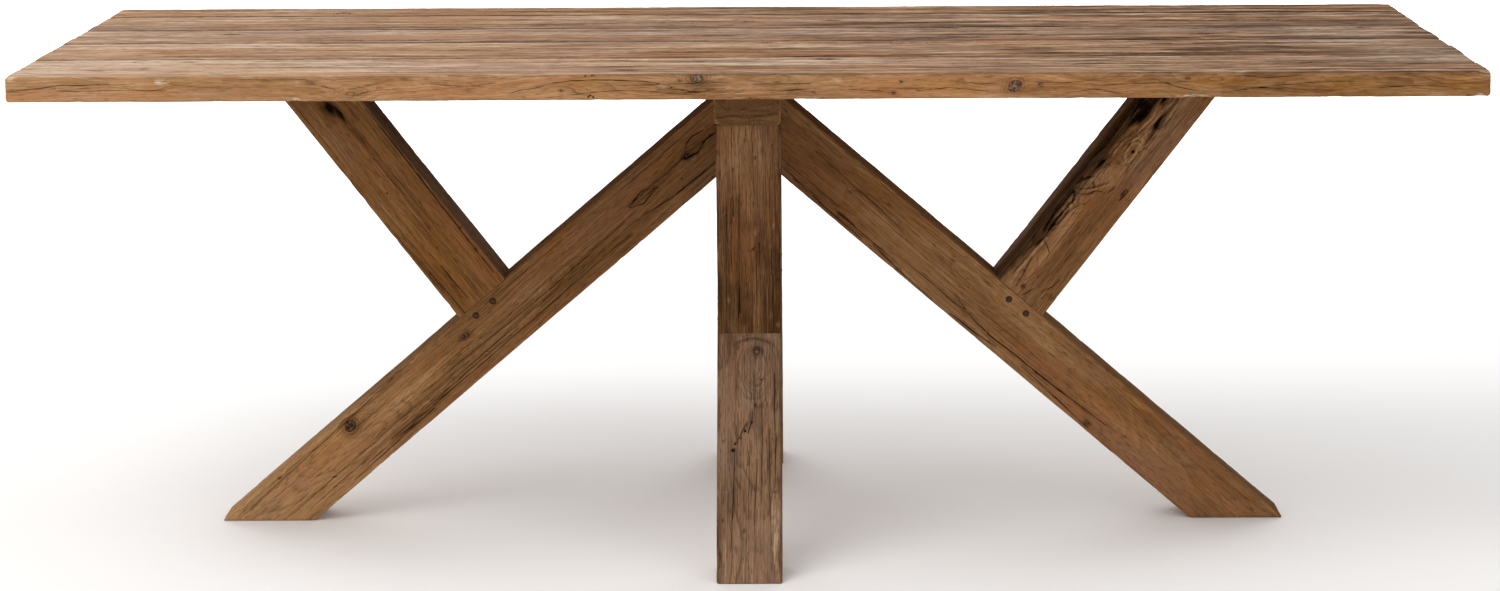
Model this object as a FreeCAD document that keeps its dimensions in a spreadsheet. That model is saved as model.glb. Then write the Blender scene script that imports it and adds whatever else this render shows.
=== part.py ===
import FreeCAD, Part
import math
import os
import Sketcher

# Rustic plank table on four raking legs.
#
# Frame: origin on the floor under the middle of the top, +X along the planks,
# +Y from the front edge to the back edge, +Z up.  Millimetres.
#
# The left and right legs lie in the plane y = 0, the front and back legs in
# the plane x = 0.  All four rise inwards and meet under the middle of the top.
# An arm branches outwards from the upper face of each leg, mortised and pegged,
# and carries the end of a bearer.  The two bearers cross in a half lap above
# the apex of the legs and carry the planks.

V = FreeCAD.Vector
doc = FreeCAD.newDocument("plank_table")
sheet = doc.addObject("Spreadsheet::Sheet", "dims")

CELLS = [
    # table top
    ("top_length", 2200), ("top_width", 1000), ("top_height", 780),
    ("plank_thick", 39), ("plank_gap", 1), ("plank_round", 1.5),
    ("width_a", 107), ("width_b", 113), ("width_c", 129), ("width_d", 99),
    ("width_e", 99), ("width_f", 102), ("width_g", 79), ("width_h", 134),
    ("width_i", 130),
    # how much shorter each plank is than the top, both ends together
    ("trim_a", 0), ("trim_b", 4), ("trim_c", 1), ("trim_d", 5), ("trim_e", 2),
    ("trim_f", 4), ("trim_g", 3), ("trim_h", 0), ("trim_i", 2),
    # loose splines between the planks, in stopped grooves
    ("spline_length", 2080), ("spline_wide", 24), ("spline_thick", 8),
    ("groove_clear", 0.3),
    # square beams of the base
    ("beam_wide", 98), ("beam_deep", 100), ("edge_round", 4),
    # left and right legs: outer tip of the foot, rake, arm
    ("side_foot", 861), ("side_angle", 40.5),
    ("side_arm_angle", 52.3), ("side_arm_reach", 747.5),
    # front and back legs
    ("end_foot", 483), ("end_angle", 57),
    ("end_arm_angle", 64.5), ("end_arm_reach", 425),
    # bearers and battens
    ("bearer_high", 48), ("bearer_wide", 100),
    ("cross_length", 880), ("long_length", 1960),
    ("batten_thick", 20), ("batten_wide", 90), ("batten_length", 870),
    ("batten_flat", 660), ("batten_tip", 7), ("batten_place", 900),
    # arm to leg joint
    ("tenon_thick", 34), ("tenon_long", 70), ("tenon_deep", 45),
    # arm to bearer joint
    ("stub_thick", 34), ("stub_long", 50), ("stub_deep", 30),
    # left and right legs into the front and back pair
    ("apex_tenon_thick", 36), ("apex_tenon_deep", 38),
    ("apex_tenon_low", 595), ("apex_tenon_high", 655),
    ("fit_clear", 0.2), ("depth_clear", 1),
    # pegs and dowels
    ("peg_dia", 8), ("peg_pitch", 36), ("peg_shift", 8), ("peg_inset", 15),
    ("stub_peg_rise", 16),
    ("dowel_dia", 12), ("dowel_length", 60),
    ("dowel_side", 28), ("dowel_rise", 580),
    ("hole_clear", 0.2),
    # wood screws
    ("screw_dia", 5), ("screw_head", 10), ("head_high", 4), ("sink_dia", 11),
    ("screw_bite", 18), ("bearer_sink", 10), ("batten_sink", 6),
    ("screw_near", 100), ("screw_mid", 204), ("screw_far", 300),
    ("screw_end", 417),
    ("long_screw_near", 300), ("long_screw_mid", 550), ("long_screw_far", 820),
    # coach screws down through the half lap into the apex
    ("lag_dia", 8), ("lag_head", 16), ("lag_head_high", 6), ("lag_sink_dia", 17),
    ("lag_sink", 8), ("lag_bite", 31), ("lag_y", 14),
]
for row, (alias, number) in enumerate(CELLS, 1):
    sheet.set("A%d" % row, alias)
    sheet.set("B%d" % row, str(number))
    sheet.setAlias("B%d" % row, alias)
doc.recompute()


class Q:
    """A size: its number now, and the expression over the sheet that gives it."""

    def __init__(self, v, t):
        self.v = float(v)
        self.t = t

    def __add__(self, o):
        o = q(o)
        return Q(self.v + o.v, "(%s + %s)" % (self.t, o.t))

    def __radd__(self, o):
        return q(o) + self

    def __sub__(self, o):
        o = q(o)
        return Q(self.v - o.v, "(%s - %s)" % (self.t, o.t))

    def __rsub__(self, o):
        return q(o) - self

    def __mul__(self, o):
        o = q(o)
        return Q(self.v * o.v, "(%s * %s)" % (self.t, o.t))

    def __rmul__(self, o):
        return q(o) * self

    def __truediv__(self, o):
        o = q(o)
        return Q(self.v / o.v, "(%s / %s)" % (self.t, o.t))

    def __neg__(self):
        return Q(-self.v, "(0 - %s)" % self.t)


def q(o):
    return o if isinstance(o, Q) else Q(o, repr(float(o)))


def sind(a):
    return Q(math.sin(math.radians(a.v)), "sin(%s * 1 deg)" % a.t)


def cosd(a):
    return Q(math.cos(math.radians(a.v)), "cos(%s * 1 deg)" % a.t)


def tand(a):
    return Q(math.tan(math.radians(a.v)), "tan(%s * 1 deg)" % a.t)


D = {alias: Q(sheet.get(alias), "dims." + alias) for alias, _ in CELLS}
ZERO = q(0)


# ---------------------------------------------------------------- helpers

def plane(body, role):
    for f in body.Origin.OriginFeatures:
        if f.Role == role:
            return f
    raise RuntimeError(role)


def new_body(label):
    body = doc.addObject("PartDesign::Body", label)
    body.Label = label
    return body


def sketch(body, name, role, offset=None):
    sk = body.newObject("Sketcher::SketchObject", name)
    sk.AttachmentSupport = [(plane(body, role), "")]
    sk.MapMode = "FlatFace"
    if offset is not None:
        sk.AttachmentOffset = FreeCAD.Placement(V(0, 0, offset.v), FreeCAD.Rotation())
        sk.setExpression("AttachmentOffset.Base.z", offset.t)
    return sk


def pin(sk, gid, pos, x, y):
    """Tie a sketch point to the sheet with its two coordinates."""
    for axis, value in (("X", x), ("Y", y)):
        if abs(value.v) < 1e-9:
            sk.addConstraint(Sketcher.Constraint(
                "PointOnObject", gid, pos, -2 if axis == "X" else -1))
        elif value.v > 0:
            n = sk.addConstraint(Sketcher.Constraint(
                "Distance" + axis, -1, 1, gid, pos, value.v))
            sk.setExpression("Constraints[%d]" % n, value.t)
        else:
            n = sk.addConstraint(Sketcher.Constraint(
                "Distance" + axis, gid, pos, -1, 1, -value.v))
            sk.setExpression("Constraints[%d]" % n, "0 - " + value.t)


def polygon(sk, points):
    pts = [(q(x), q(y)) for x, y in points]
    n = len(pts)
    ids = []
    for i in range(n):
        a, b = pts[i], pts[(i + 1) % n]
        ids.append(sk.addGeometry(Part.LineSegment(
            V(a[0].v, a[1].v, 0), V(b[0].v, b[1].v, 0)), False))
    for i in range(n):
        sk.addConstraint(Sketcher.Constraint(
            "Coincident", ids[i], 2, ids[(i + 1) % n], 1))
    for i in range(n):
        pin(sk, ids[i], 1, pts[i][0], pts[i][1])


def rectangle(sk, x0, x1, y0, y1):
    polygon(sk, [(x0, y0), (x1, y0), (x1, y1), (x0, y1)])


def circles(sk, centres, dia):
    for x, y in centres:
        x, y = q(x), q(y)
        gid = sk.addGeometry(Part.Circle(V(x.v, y.v, 0), V(0, 0, 1), dia.v / 2), False)
        pin(sk, gid, 3, x, y)
        n = sk.addConstraint(Sketcher.Constraint("Diameter", gid, dia.v))
        sk.setExpression("Constraints[%d]" % n, dia.t)


def extrude(body, kind, name, sk, length, side="Symmetric", reverse=False):
    before = body.Shape.Volume if body.Tip and not body.Shape.isNull() else 0.0
    f = body.newObject("PartDesign::" + kind, name)
    f.Profile = sk
    f.SideType = side
    f.Reversed = reverse
    f.Length = length.v
    f.setExpression("Length", length.t)
    doc.recompute()
    after = body.Shape.Volume
    if kind == "Pocket" and not after < before - 1.0:
        raise RuntimeError("%s cuts nothing" % name)
    if kind == "Pad" and not after > before + 1.0:
        raise RuntimeError("%s adds nothing" % name)
    return f


def round_edges(body, name, pick, radius):
    names = []
    for i, e in enumerate(body.Tip.Shape.Edges, 1):
        if pick(e):
            names.append("Edge%d" % i)
    if not names:
        raise RuntimeError("%s: no edges" % name)
    f = body.newObject("PartDesign::Fillet", name)
    f.Base = (body.Tip if body.Tip != f else f.BaseFeature, names)
    f.Radius = radius.v
    f.setExpression("Radius", radius.t)
    doc.recompute()
    return f


def along(direction, shortest):
    """Pick straight edges parallel to a direction and at least so long."""
    d = V(*direction).normalize()

    def pick(e):
        if not isinstance(e.Curve, Part.Line) or e.Length < shortest:
            return False
        t = (e.Vertexes[-1].Point - e.Vertexes[0].Point).normalize()
        return abs(t.dot(d)) > 0.99999
    return pick


def turned(obj):
    """Half a turn about the vertical axis: the mirror-image place on this table."""
    obj.Placement = FreeCAD.Placement(V(0, 0, 0), FreeCAD.Rotation(V(0, 0, 1), 180))


def rod(name, dia, length, axis, x, y, z):
    """A straight round rod that starts at a point and runs along +axis."""
    c = doc.addObject("Part::Cylinder", name)
    c.setExpression("Radius", "%s / 2" % dia.t)
    c.setExpression("Height", length.t)
    rot = {"X": FreeCAD.Rotation(V(0, 1, 0), 90),
           "Y": FreeCAD.Rotation(V(1, 0, 0), -90),
           "Z": FreeCAD.Rotation()}[axis]
    x, y, z = q(x), q(y), q(z)
    c.Placement = FreeCAD.Placement(V(x.v, y.v, z.v), rot)
    c.setExpression("Placement.Base.x", x.t)
    c.setExpression("Placement.Base.y", y.t)
    c.setExpression("Placement.Base.z", z.t)
    return c


def group(label, objects):
    g = doc.addObject("Part::Compound", label)
    g.Label = label
    g.Links = objects
    return g


nodes = []

# ---------------------------------------------------------------- levels

under_top = D["top_height"] - D["plank_thick"]
under_bearer = under_top - D["bearer_high"]
lap_level = under_top - D["bearer_high"] / 2
half_bearer = D["bearer_wide"] / 2
half_deep = D["beam_deep"] / 2


# ---------------------------------------------------------------- legs and arms

class Strut:
    """Side view of one leg and its arm: u runs outwards, w runs up."""

    def __init__(self, foot, angle, arm_angle, reach):
        a, b = angle, arm_angle
        self.a, self.b, self.foot, self.reach = a, b, foot, reach
        self.heel = foot - D["beam_wide"] / sind(a)
        # the arm's outer edge meets the leg's upper face this far up the leg
        self.low = ((foot - reach + under_bearer / tand(b))
                    / (cosd(a) + sind(a) / tand(b)))
        self.high = self.low + D["beam_wide"] / sind(a + b)
        self.mid = (self.low + self.high) / 2
        self.arm_in = reach - D["beam_wide"] / sind(b)
        self.arm_mid = (reach + self.arm_in) / 2

    def upper(self, u):
        return (self.foot - u) * tand(self.a)

    def lower(self, u):
        return (self.heel - u) * tand(self.a)

    def on_leg(self, s, depth):
        """A point s up the leg's upper face and depth under that face."""
        return (self.foot - s * cosd(self.a) - depth * sind(self.a),
                s * sind(self.a) - depth * cosd(self.a))

    def pegs(self):
        c = self.mid - D["peg_shift"]
        return [self.on_leg(c - D["peg_pitch"] / 2, D["peg_inset"]),
                self.on_leg(c + D["peg_pitch"] / 2, D["peg_inset"])]

    def axis(self):
        r = math.radians(self.a.v)
        return -math.cos(r), math.sin(r)

    def arm_axis(self):
        r = math.radians(self.b.v)
        return math.cos(r), math.sin(r)


side = Strut(D["side_foot"], D["side_angle"], D["side_arm_angle"], D["side_arm_reach"])
ends = Strut(D["end_foot"], D["end_angle"], D["end_arm_angle"], D["end_arm_reach"])
peg_hole = D["peg_dia"] + D["hole_clear"]


def mortise_outline(st, clear, sink, lift):
    half = D["tenon_long"] / 2 + clear
    return [st.on_leg(st.mid - half, lift), st.on_leg(st.mid + half, lift),
            st.on_leg(st.mid + half, sink), st.on_leg(st.mid - half, sink)]


def arm(label, role, st, spin):
    """An arm: horizontal cut with a stub tenon above, slanted shoulder and
    tenon below, peg holes through both tenons."""
    body = new_body(label)
    sk = sketch(body, label + "_side", role)
    polygon(sk, [st.on_leg(st.low, ZERO), (st.reach, under_bearer),
                 (st.arm_in, under_bearer), st.on_leg(st.high, ZERO)])
    extrude(body, "Pad", label + "_beam", sk, D["beam_deep"])
    c, s = st.arm_axis()
    direction = (c, 0, s) if role == "XZ_Plane" else (0, c, s)
    round_edges(body, label + "_edges", along(direction, 150), D["edge_round"])
    sk = sketch(body, label + "_tenon_side", role)
    polygon(sk, mortise_outline(st, ZERO, D["tenon_deep"], q(-6)))
    extrude(body, "Pad", label + "_tenon", sk, D["tenon_thick"])
    sk = sketch(body, label + "_stub_side", role)
    rectangle(sk, st.arm_mid - D["stub_long"] / 2, st.arm_mid + D["stub_long"] / 2,
              under_bearer - 6, under_bearer + D["stub_deep"])
    extrude(body, "Pad", label + "_stub", sk, D["stub_thick"])
    sk = sketch(body, label + "_peg_places", role)
    circles(sk, st.pegs(), peg_hole)
    extrude(body, "Pocket", label + "_peg_holes", sk, D["beam_deep"] * 2)
    sk = sketch(body, label + "_stub_peg_place", role)
    circles(sk, [(st.arm_mid, under_bearer + D["stub_peg_rise"])], peg_hole)
    extrude(body, "Pocket", label + "_stub_peg_hole", sk, D["beam_deep"] * 2)
    if spin:
        turned(body)
    nodes.append(body)


def side_leg(label, spin):
    """Left or right leg: flat foot, vertical cut and stub tenon at the apex."""
    st = side
    body = new_body(label)
    sk = sketch(body, label + "_side", "XZ_Plane")
    polygon(sk, [(st.foot, ZERO), (half_deep, st.upper(half_deep)),
                 (half_deep, st.lower(half_deep)), (st.heel, ZERO)])
    extrude(body, "Pad", label + "_beam", sk, D["beam_deep"])
    c, s = st.axis()
    round_edges(body, label + "_edges", along((c, 0, s), 500), D["edge_round"])
    sk = sketch(body, label + "_tenon_side", "XZ_Plane")
    rectangle(sk, half_deep - D["apex_tenon_deep"], half_deep + 6,
              D["apex_tenon_low"], D["apex_tenon_high"])
    extrude(body, "Pad", label + "_tenon", sk, D["apex_tenon_thick"])
    joint_cuts(body, label, "XZ_Plane", st)
    if spin:
        turned(body)
    nodes.append(body)


def joint_cuts(body, label, role, st):
    """The mortise for the arm and the two peg holes across it."""
    sk = sketch(body, label + "_mortise_side", role)
    polygon(sk, mortise_outline(st, D["fit_clear"],
                                D["tenon_deep"] + D["depth_clear"], q(-12)))
    extrude(body, "Pocket", label + "_mortise", sk,
            D["tenon_thick"] + D["fit_clear"] * 2)
    sk = sketch(body, label + "_peg_places", role)
    circles(sk, st.pegs(), peg_hole)
    extrude(body, "Pocket", label + "_peg_holes", sk, D["beam_deep"] * 2)


def end_leg(label, spin):
    """Front or back leg: flat foot, mitre on the plane y = 0 and a flat top
    under the bearers; open mortises for the left and right legs' tenons."""
    st = ends
    body = new_body(label)
    sk = sketch(body, label + "_side", "YZ_Plane")
    crown = st.foot - under_bearer / tand(st.a)
    polygon(sk, [(st.foot, ZERO), (crown, under_bearer), (ZERO, under_bearer),
                 (ZERO, st.lower(ZERO)), (st.heel, ZERO)])
    extrude(body, "Pad", label + "_beam", sk, D["beam_deep"])
    c, s = st.axis()
    round_edges(body, label + "_edges", along((0, c, s), 500), D["edge_round"])
    joint_cuts(body, label, "YZ_Plane", st)
    sk = sketch(body, label + "_apex_mortise_side", "YZ_Plane")
    rectangle(sk, q(-4), D["apex_tenon_thick"] / 2 + D["fit_clear"],
              D["apex_tenon_low"] - D["fit_clear"], D["apex_tenon_high"] + D["fit_clear"])
    extrude(body, "Pocket", label + "_apex_mortise", sk, D["beam_deep"] * 2)
    sk = sketch(body, label + "_dowel_places", "XZ_Plane")
    circles(sk, [(D["dowel_side"], D["dowel_rise"]), (-D["dowel_side"], D["dowel_rise"])],
            D["dowel_dia"] + D["hole_clear"])
    extrude(body, "Pocket", label + "_dowel_holes", sk,
            D["dowel_length"] + D["depth_clear"] * 2)
    sk = sketch(body, label + "_lag_place", "XY_Plane", under_bearer)
    circles(sk, [(ZERO, D["lag_y"])], D["lag_dia"] + D["hole_clear"])
    extrude(body, "Pocket", label + "_lag_hole", sk, D["lag_bite"] * 2)
    if spin:
        turned(body)
    nodes.append(body)


side_leg("leg_right", False)
side_leg("leg_left", True)
end_leg("leg_back", False)
end_leg("leg_front", True)
arm("arm_right", "XZ_Plane", side, False)
arm("arm_left", "XZ_Plane", side, True)
arm("arm_back", "YZ_Plane", ends, False)
arm("arm_front", "YZ_Plane", ends, True)

# ---------------------------------------------------------------- pegs and dowels

for label, spin in (("pegs_right", False), ("pegs_left", True)):
    rods = [rod("%s_%d" % (label, i), D["peg_dia"], D["beam_deep"], "Y",
                u, -half_deep, w) for i, (u, w) in enumerate(side.pegs(), 1)]
    g = group(label, rods)
    if spin:
        turned(g)
    nodes.append(g)
for label, spin in (("pegs_back", False), ("pegs_front", True)):
    rods = [rod("%s_%d" % (label, i), D["peg_dia"], D["beam_deep"], "X",
                -half_deep, u, w) for i, (u, w) in enumerate(ends.pegs(), 1)]
    g = group(label, rods)
    if spin:
        turned(g)
    nodes.append(g)

stub_peg_z = under_bearer + D["stub_peg_rise"]
nodes.append(group("bearer_pegs_long", [
    rod("stub_peg_right", D["peg_dia"], D["bearer_wide"], "Y", side.arm_mid, -half_bearer, stub_peg_z),
    rod("stub_peg_left", D["peg_dia"], D["bearer_wide"], "Y", -side.arm_mid, -half_bearer, stub_peg_z)]))
nodes.append(group("bearer_pegs_cross", [
    rod("stub_peg_back", D["peg_dia"], D["bearer_wide"], "X", -half_bearer, ends.arm_mid, stub_peg_z),
    rod("stub_peg_front", D["peg_dia"], D["bearer_wide"], "X", -half_bearer, -ends.arm_mid, stub_peg_z)]))
nodes.append(group("apex_dowels", [
    rod("apex_dowel_right", D["dowel_dia"], D["dowel_length"], "Y",
        D["dowel_side"], -D["dowel_length"] / 2, D["dowel_rise"]),
    rod("apex_dowel_left", D["dowel_dia"], D["dowel_length"], "Y",
        -D["dowel_side"], -D["dowel_length"] / 2, D["dowel_rise"])]))

# ---------------------------------------------------------------- bearers

screw_hole = D["screw_dia"] + D["hole_clear"]
lag_hole = D["lag_dia"] + D["hole_clear"]
lag_places = [(ZERO, -D["lag_y"]), (ZERO, D["lag_y"])]
cross_rows = [D["screw_near"], D["screw_mid"], D["screw_far"], D["screw_end"]]
cross_places = [(ZERO, y) for y in cross_rows] + [(ZERO, -y) for y in cross_rows]
long_rows = [D["long_screw_near"], D["long_screw_mid"], D["long_screw_far"]]
long_places = [(x, ZERO) for x in long_rows] + [(-x, ZERO) for x in long_rows]
batten_rows = [D["screw_near"], D["screw_mid"], D["screw_far"]]

# front to back, upper half cut away at the half lap
body = new_body("cross_bearer")
sk = sketch(body, "cross_side", "YZ_Plane")
hl = D["cross_length"] / 2
lap = half_bearer + D["fit_clear"]
polygon(sk, [(-hl, under_bearer), (hl, under_bearer), (hl, under_top), (lap, under_top),
             (lap, lap_level), (-lap, lap_level), (-lap, under_top), (-hl, under_top)])
extrude(body, "Pad", "cross_beam", sk, D["bearer_wide"])
sk = sketch(body, "cross_stub_places", "XY_Plane", under_bearer)
for sign in (1, -1):
    mid = ends.arm_mid * sign
    rectangle(sk, -D["stub_thick"] / 2 - D["fit_clear"], D["stub_thick"] / 2 + D["fit_clear"],
              mid - D["stub_long"] / 2 - D["fit_clear"], mid + D["stub_long"] / 2 + D["fit_clear"])
extrude(body, "Pocket", "cross_stub_mortises", sk, (D["stub_deep"] + D["depth_clear"]) * 2)
sk = sketch(body, "cross_peg_places", "YZ_Plane")
circles(sk, [(ends.arm_mid, stub_peg_z), (-ends.arm_mid, stub_peg_z)], peg_hole)
extrude(body, "Pocket", "cross_peg_holes", sk, D["bearer_wide"] * 2)
sk = sketch(body, "cross_screw_places", "XY_Plane", under_bearer)
circles(sk, cross_places, screw_hole)
extrude(body, "Pocket", "cross_screw_holes", sk, D["bearer_high"] * 4)
sk = sketch(body, "cross_sink_places", "XY_Plane", under_bearer)
circles(sk, cross_places, D["sink_dia"])
extrude(body, "Pocket", "cross_sinks", sk, D["bearer_sink"] * 2)
sk = sketch(body, "cross_lag_places", "XY_Plane", under_bearer)
circles(sk, lag_places, lag_hole)
extrude(body, "Pocket", "cross_lag_holes", sk, D["bearer_high"] * 4)
nodes.append(body)

# end to end, lower half cut away at the half lap, notched over the battens
body = new_body("long_bearer")
sk = sketch(body, "long_side", "XZ_Plane")
hl = D["long_length"] / 2
n0 = D["batten_place"] - D["batten_wide"] / 2 - D["fit_clear"]
n1 = D["batten_place"] + D["batten_wide"] / 2 + D["fit_clear"]
notch = under_top - D["batten_thick"]
if n1.v >= hl.v:
    notch_out = [(hl, notch)]
else:
    notch_out = [(hl, under_top), (n1, under_top), (n1, notch)]
right = notch_out + [(n0, notch), (n0, under_top)]
left = [(-x, z) for x, z in reversed(right)]
polygon(sk, [(lap, lap_level), (lap, under_bearer), (hl, under_bearer)] + right
        + left + [(-hl, under_bearer), (-lap, under_bearer), (-lap, lap_level)])
extrude(body, "Pad", "long_beam", sk, D["bearer_wide"])
sk = sketch(body, "long_stub_places", "XY_Plane", under_bearer)
for sign in (1, -1):
    mid = side.arm_mid * sign
    rectangle(sk, mid - D["stub_long"] / 2 - D["fit_clear"], mid + D["stub_long"] / 2 + D["fit_clear"],
              -D["stub_thick"] / 2 - D["fit_clear"], D["stub_thick"] / 2 + D["fit_clear"])
extrude(body, "Pocket", "long_stub_mortises", sk, (D["stub_deep"] + D["depth_clear"]) * 2)
sk = sketch(body, "long_peg_places", "XZ_Plane")
circles(sk, [(side.arm_mid, stub_peg_z), (-side.arm_mid, stub_peg_z)], peg_hole)
extrude(body, "Pocket", "long_peg_holes", sk, D["bearer_wide"] * 2)
sk = sketch(body, "long_screw_places", "XY_Plane", under_bearer)
circles(sk, long_places, screw_hole)
extrude(body, "Pocket", "long_screw_holes", sk, D["bearer_high"] * 4)
sk = sketch(body, "long_sink_places", "XY_Plane", under_bearer)
circles(sk, long_places, D["sink_dia"])
extrude(body, "Pocket", "long_sinks", sk, D["bearer_sink"] * 2)
sk = sketch(body, "long_lag_places", "XY_Plane", under_top)
circles(sk, lag_places, lag_hole)
extrude(body, "Pocket", "long_lag_holes", sk, D["bearer_high"] * 4)
sk = sketch(body, "long_lag_sink_places", "XY_Plane", under_top)
circles(sk, lag_places, D["lag_sink_dia"])
extrude(body, "Pocket", "long_lag_sinks", sk, D["lag_sink"] * 2)
nodes.append(body)

# ---------------------------------------------------------------- battens

for label, sign in (("batten_right", 1), ("batten_left", -1)):
    body = new_body(label)
    sk = sketch(body, label + "_side", "YZ_Plane")
    hl, hf = D["batten_length"] / 2, D["batten_flat"] / 2
    low, tip = under_top - D["batten_thick"], under_top - D["batten_tip"]
    polygon(sk, [(-hf, low), (hf, low), (hl, tip), (hl, under_top), (-hl, under_top), (-hl, tip)])
    extrude(body, "Pad", label + "_strip", sk, D["batten_wide"])
    places = [(ZERO, y) for y in batten_rows] + [(ZERO, -y) for y in batten_rows]
    sk = sketch(body, label + "_screw_places", "XY_Plane", low)
    circles(sk, places, screw_hole)
    extrude(body, "Pocket", label + "_screw_holes", sk, D["batten_thick"] * 4)
    sk = sketch(body, label + "_sink_places", "XY_Plane", low)
    circles(sk, places, D["sink_dia"])
    extrude(body, "Pocket", label + "_sinks", sk, D["batten_sink"] * 2)
    body.Placement = FreeCAD.Placement(V(D["batten_place"].v * sign, 0, 0), FreeCAD.Rotation())
    body.setExpression("Placement.Base.x", (D["batten_place"] * sign).t)
    nodes.append(body)

# ---------------------------------------------------------------- planks

letters = "abcdefghi"
names = ["plank_front_1", "plank_2", "plank_3", "plank_4", "plank_middle_5",
         "plank_6", "plank_7", "plank_8", "plank_back_9"]
start = -D["top_width"] / 2
joints = []
for i, (letter, label) in enumerate(zip(letters, names)):
    wide = D["width_" + letter]
    body = new_body(label)
    sk = sketch(body, label + "_section", "YZ_Plane")
    rectangle(sk, ZERO, wide, ZERO, D["plank_thick"])
    extrude(body, "Pad", label + "_board", sk, D["top_length"] - D["trim_" + letter])
    top_edges = along((1, 0, 0), 1000)
    round_edges(body, label + "_edges",
                lambda e: top_edges(e) and e.CenterOfMass.z > D["plank_thick"].v - 0.1,
                D["plank_round"])
    # stopped grooves for the splines, in both edges where a plank has a neighbour
    groove_low = D["plank_thick"] / 2 - D["spline_thick"] / 2
    groove_high = D["plank_thick"] / 2 + D["spline_thick"] / 2 + D["groove_clear"]
    half_groove = D["spline_length"] / 2 + D["depth_clear"]
    if i > 0:
        sk = sketch(body, label + "_groove_near_face", "XZ_Plane")
        rectangle(sk, -half_groove, half_groove, groove_low, groove_high)
        extrude(body, "Pocket", label + "_groove_near", sk, D["spline_wide"] + D["groove_clear"] * 2)
    if i < 8:
        sk = sketch(body, label + "_groove_far_face", "XZ_Plane", -wide)
        rectangle(sk, -half_groove, half_groove, groove_low, groove_high)
        extrude(body, "Pocket", label + "_groove_far", sk, D["spline_wide"] + D["groove_clear"] * 2)
    # pilot holes for the screws of the bearers and the battens
    lowest, highest = start.v, start.v + wide.v
    pilots = []
    for y in cross_rows:
        for s in (1, -1):
            if lowest + 6 < y.v * s < highest - 6:
                pilots.append((ZERO, y * s - start))
    for y in batten_rows:
        for s in (1, -1):
            if lowest + 6 < y.v * s < highest - 6:
                pilots.append((D["batten_place"], y * s - start))
                pilots.append((-D["batten_place"], y * s - start))
    if lowest < -6 and highest > 6:
        for x in long_rows:
            pilots.append((x, -start))
            pilots.append((-x, -start))
    if pilots:
        sk = sketch(body, label + "_pilot_places", "XY_Plane")
        circles(sk, pilots, screw_hole)
        extrude(body, "Pocket", label + "_pilots", sk, (D["screw_bite"] + D["depth_clear"]) * 2)
    body.Placement = FreeCAD.Placement(V(0, start.v, under_top.v), FreeCAD.Rotation())
    body.setExpression("Placement.Base.y", start.t)
    body.setExpression("Placement.Base.z", under_top.t)
    nodes.append(body)
    start = start + wide
    if i < 8:
        joints.append(start + D["plank_gap"] / 2)
        start = start + D["plank_gap"]

splines = []
for i, y in enumerate(joints, 1):
    b = doc.addObject("Part::Box", "spline_%d" % i)
    wide = D["spline_wide"] - D["groove_clear"] * 2
    b.setExpression("Length", D["spline_length"].t)
    b.setExpression("Width", wide.t)
    b.setExpression("Height", D["spline_thick"].t)
    z = under_top + D["plank_thick"] / 2 - D["spline_thick"] / 2
    b.Placement = FreeCAD.Placement(V(-D["spline_length"].v / 2, (y - wide / 2).v, z.v), FreeCAD.Rotation())
    b.setExpression("Placement.Base.x", (-D["spline_length"] / 2).t)
    b.setExpression("Placement.Base.y", (y - wide / 2).t)
    b.setExpression("Placement.Base.z", z.t)
    splines.append(b)
nodes.append(group("plank_splines", splines))


# ---------------------------------------------------------------- screws

def screws(label, places, seat, dia, length, head, head_high, up):
    """Round-headed screws, all alike: shanks from the seat and heads behind it."""
    b = new_body(label)
    s1 = sketch(b, label + "_shank_places", "XY_Plane", seat)
    circles(s1, places, dia)
    extrude(b, "Pad", label + "_shanks", s1, length, "One side", not up)
    s2 = sketch(b, label + "_head_places", "XY_Plane", seat)
    circles(s2, places, head)
    extrude(b, "Pad", label + "_heads", s2, head_high, "One side", up)
    nodes.append(b)


bearer_seat = under_bearer + D["bearer_sink"]
screws("cross_bearer_screws", cross_places, bearer_seat, D["screw_dia"],
       D["bearer_high"] - D["bearer_sink"] + D["screw_bite"],
       D["screw_head"], D["head_high"], True)
screws("long_bearer_screws", long_places, bearer_seat, D["screw_dia"],
       D["bearer_high"] - D["bearer_sink"] + D["screw_bite"],
       D["screw_head"], D["head_high"], True)
batten_places = [(D["batten_place"] * sx, y * sy)
                 for sx in (1, -1) for sy in (1, -1) for y in batten_rows]
screws("batten_screws", batten_places, under_top - D["batten_thick"] + D["batten_sink"],
       D["screw_dia"], D["batten_thick"] - D["batten_sink"] + D["screw_bite"],
       D["screw_head"], D["head_high"], True)
screws("apex_screws", lag_places, under_top - D["lag_sink"], D["lag_dia"],
       D["bearer_high"] - D["lag_sink"] + D["lag_bite"] - D["depth_clear"],
       D["lag_head"], D["lag_head_high"], False)

# ---------------------------------------------------------------- test and write

doc.recompute()
bad = [o.Label for o in doc.Objects if "Invalid" in o.State or "Error" in o.State]
if bad:
    raise RuntimeError("failed: %s" % bad)
for n in nodes:
    if n.Shape.isNull() or not n.Shape.isValid() or not n.Shape.Solids:
        raise RuntimeError("bad shape: %s" % n.Label)

os.makedirs("parts", exist_ok=True)
for n in nodes:
    n.Shape.exportStep("parts/%s.step" % n.Label)
    bb = n.Shape.optimalBoundingBox(False, False)
    print("%-20s solids %2d volume %10.0f  x %8.1f %8.1f  y %7.1f %7.1f  z %6.1f %6.1f" % (
        n.Label, len(n.Shape.Solids), n.Shape.Volume,
        bb.XMin, bb.XMax, bb.YMin, bb.YMax, bb.ZMin, bb.ZMax))
print(len(nodes), "nodes")
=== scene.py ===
import math

import bpy
import numpy as np
from mathutils import Matrix, Vector


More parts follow.
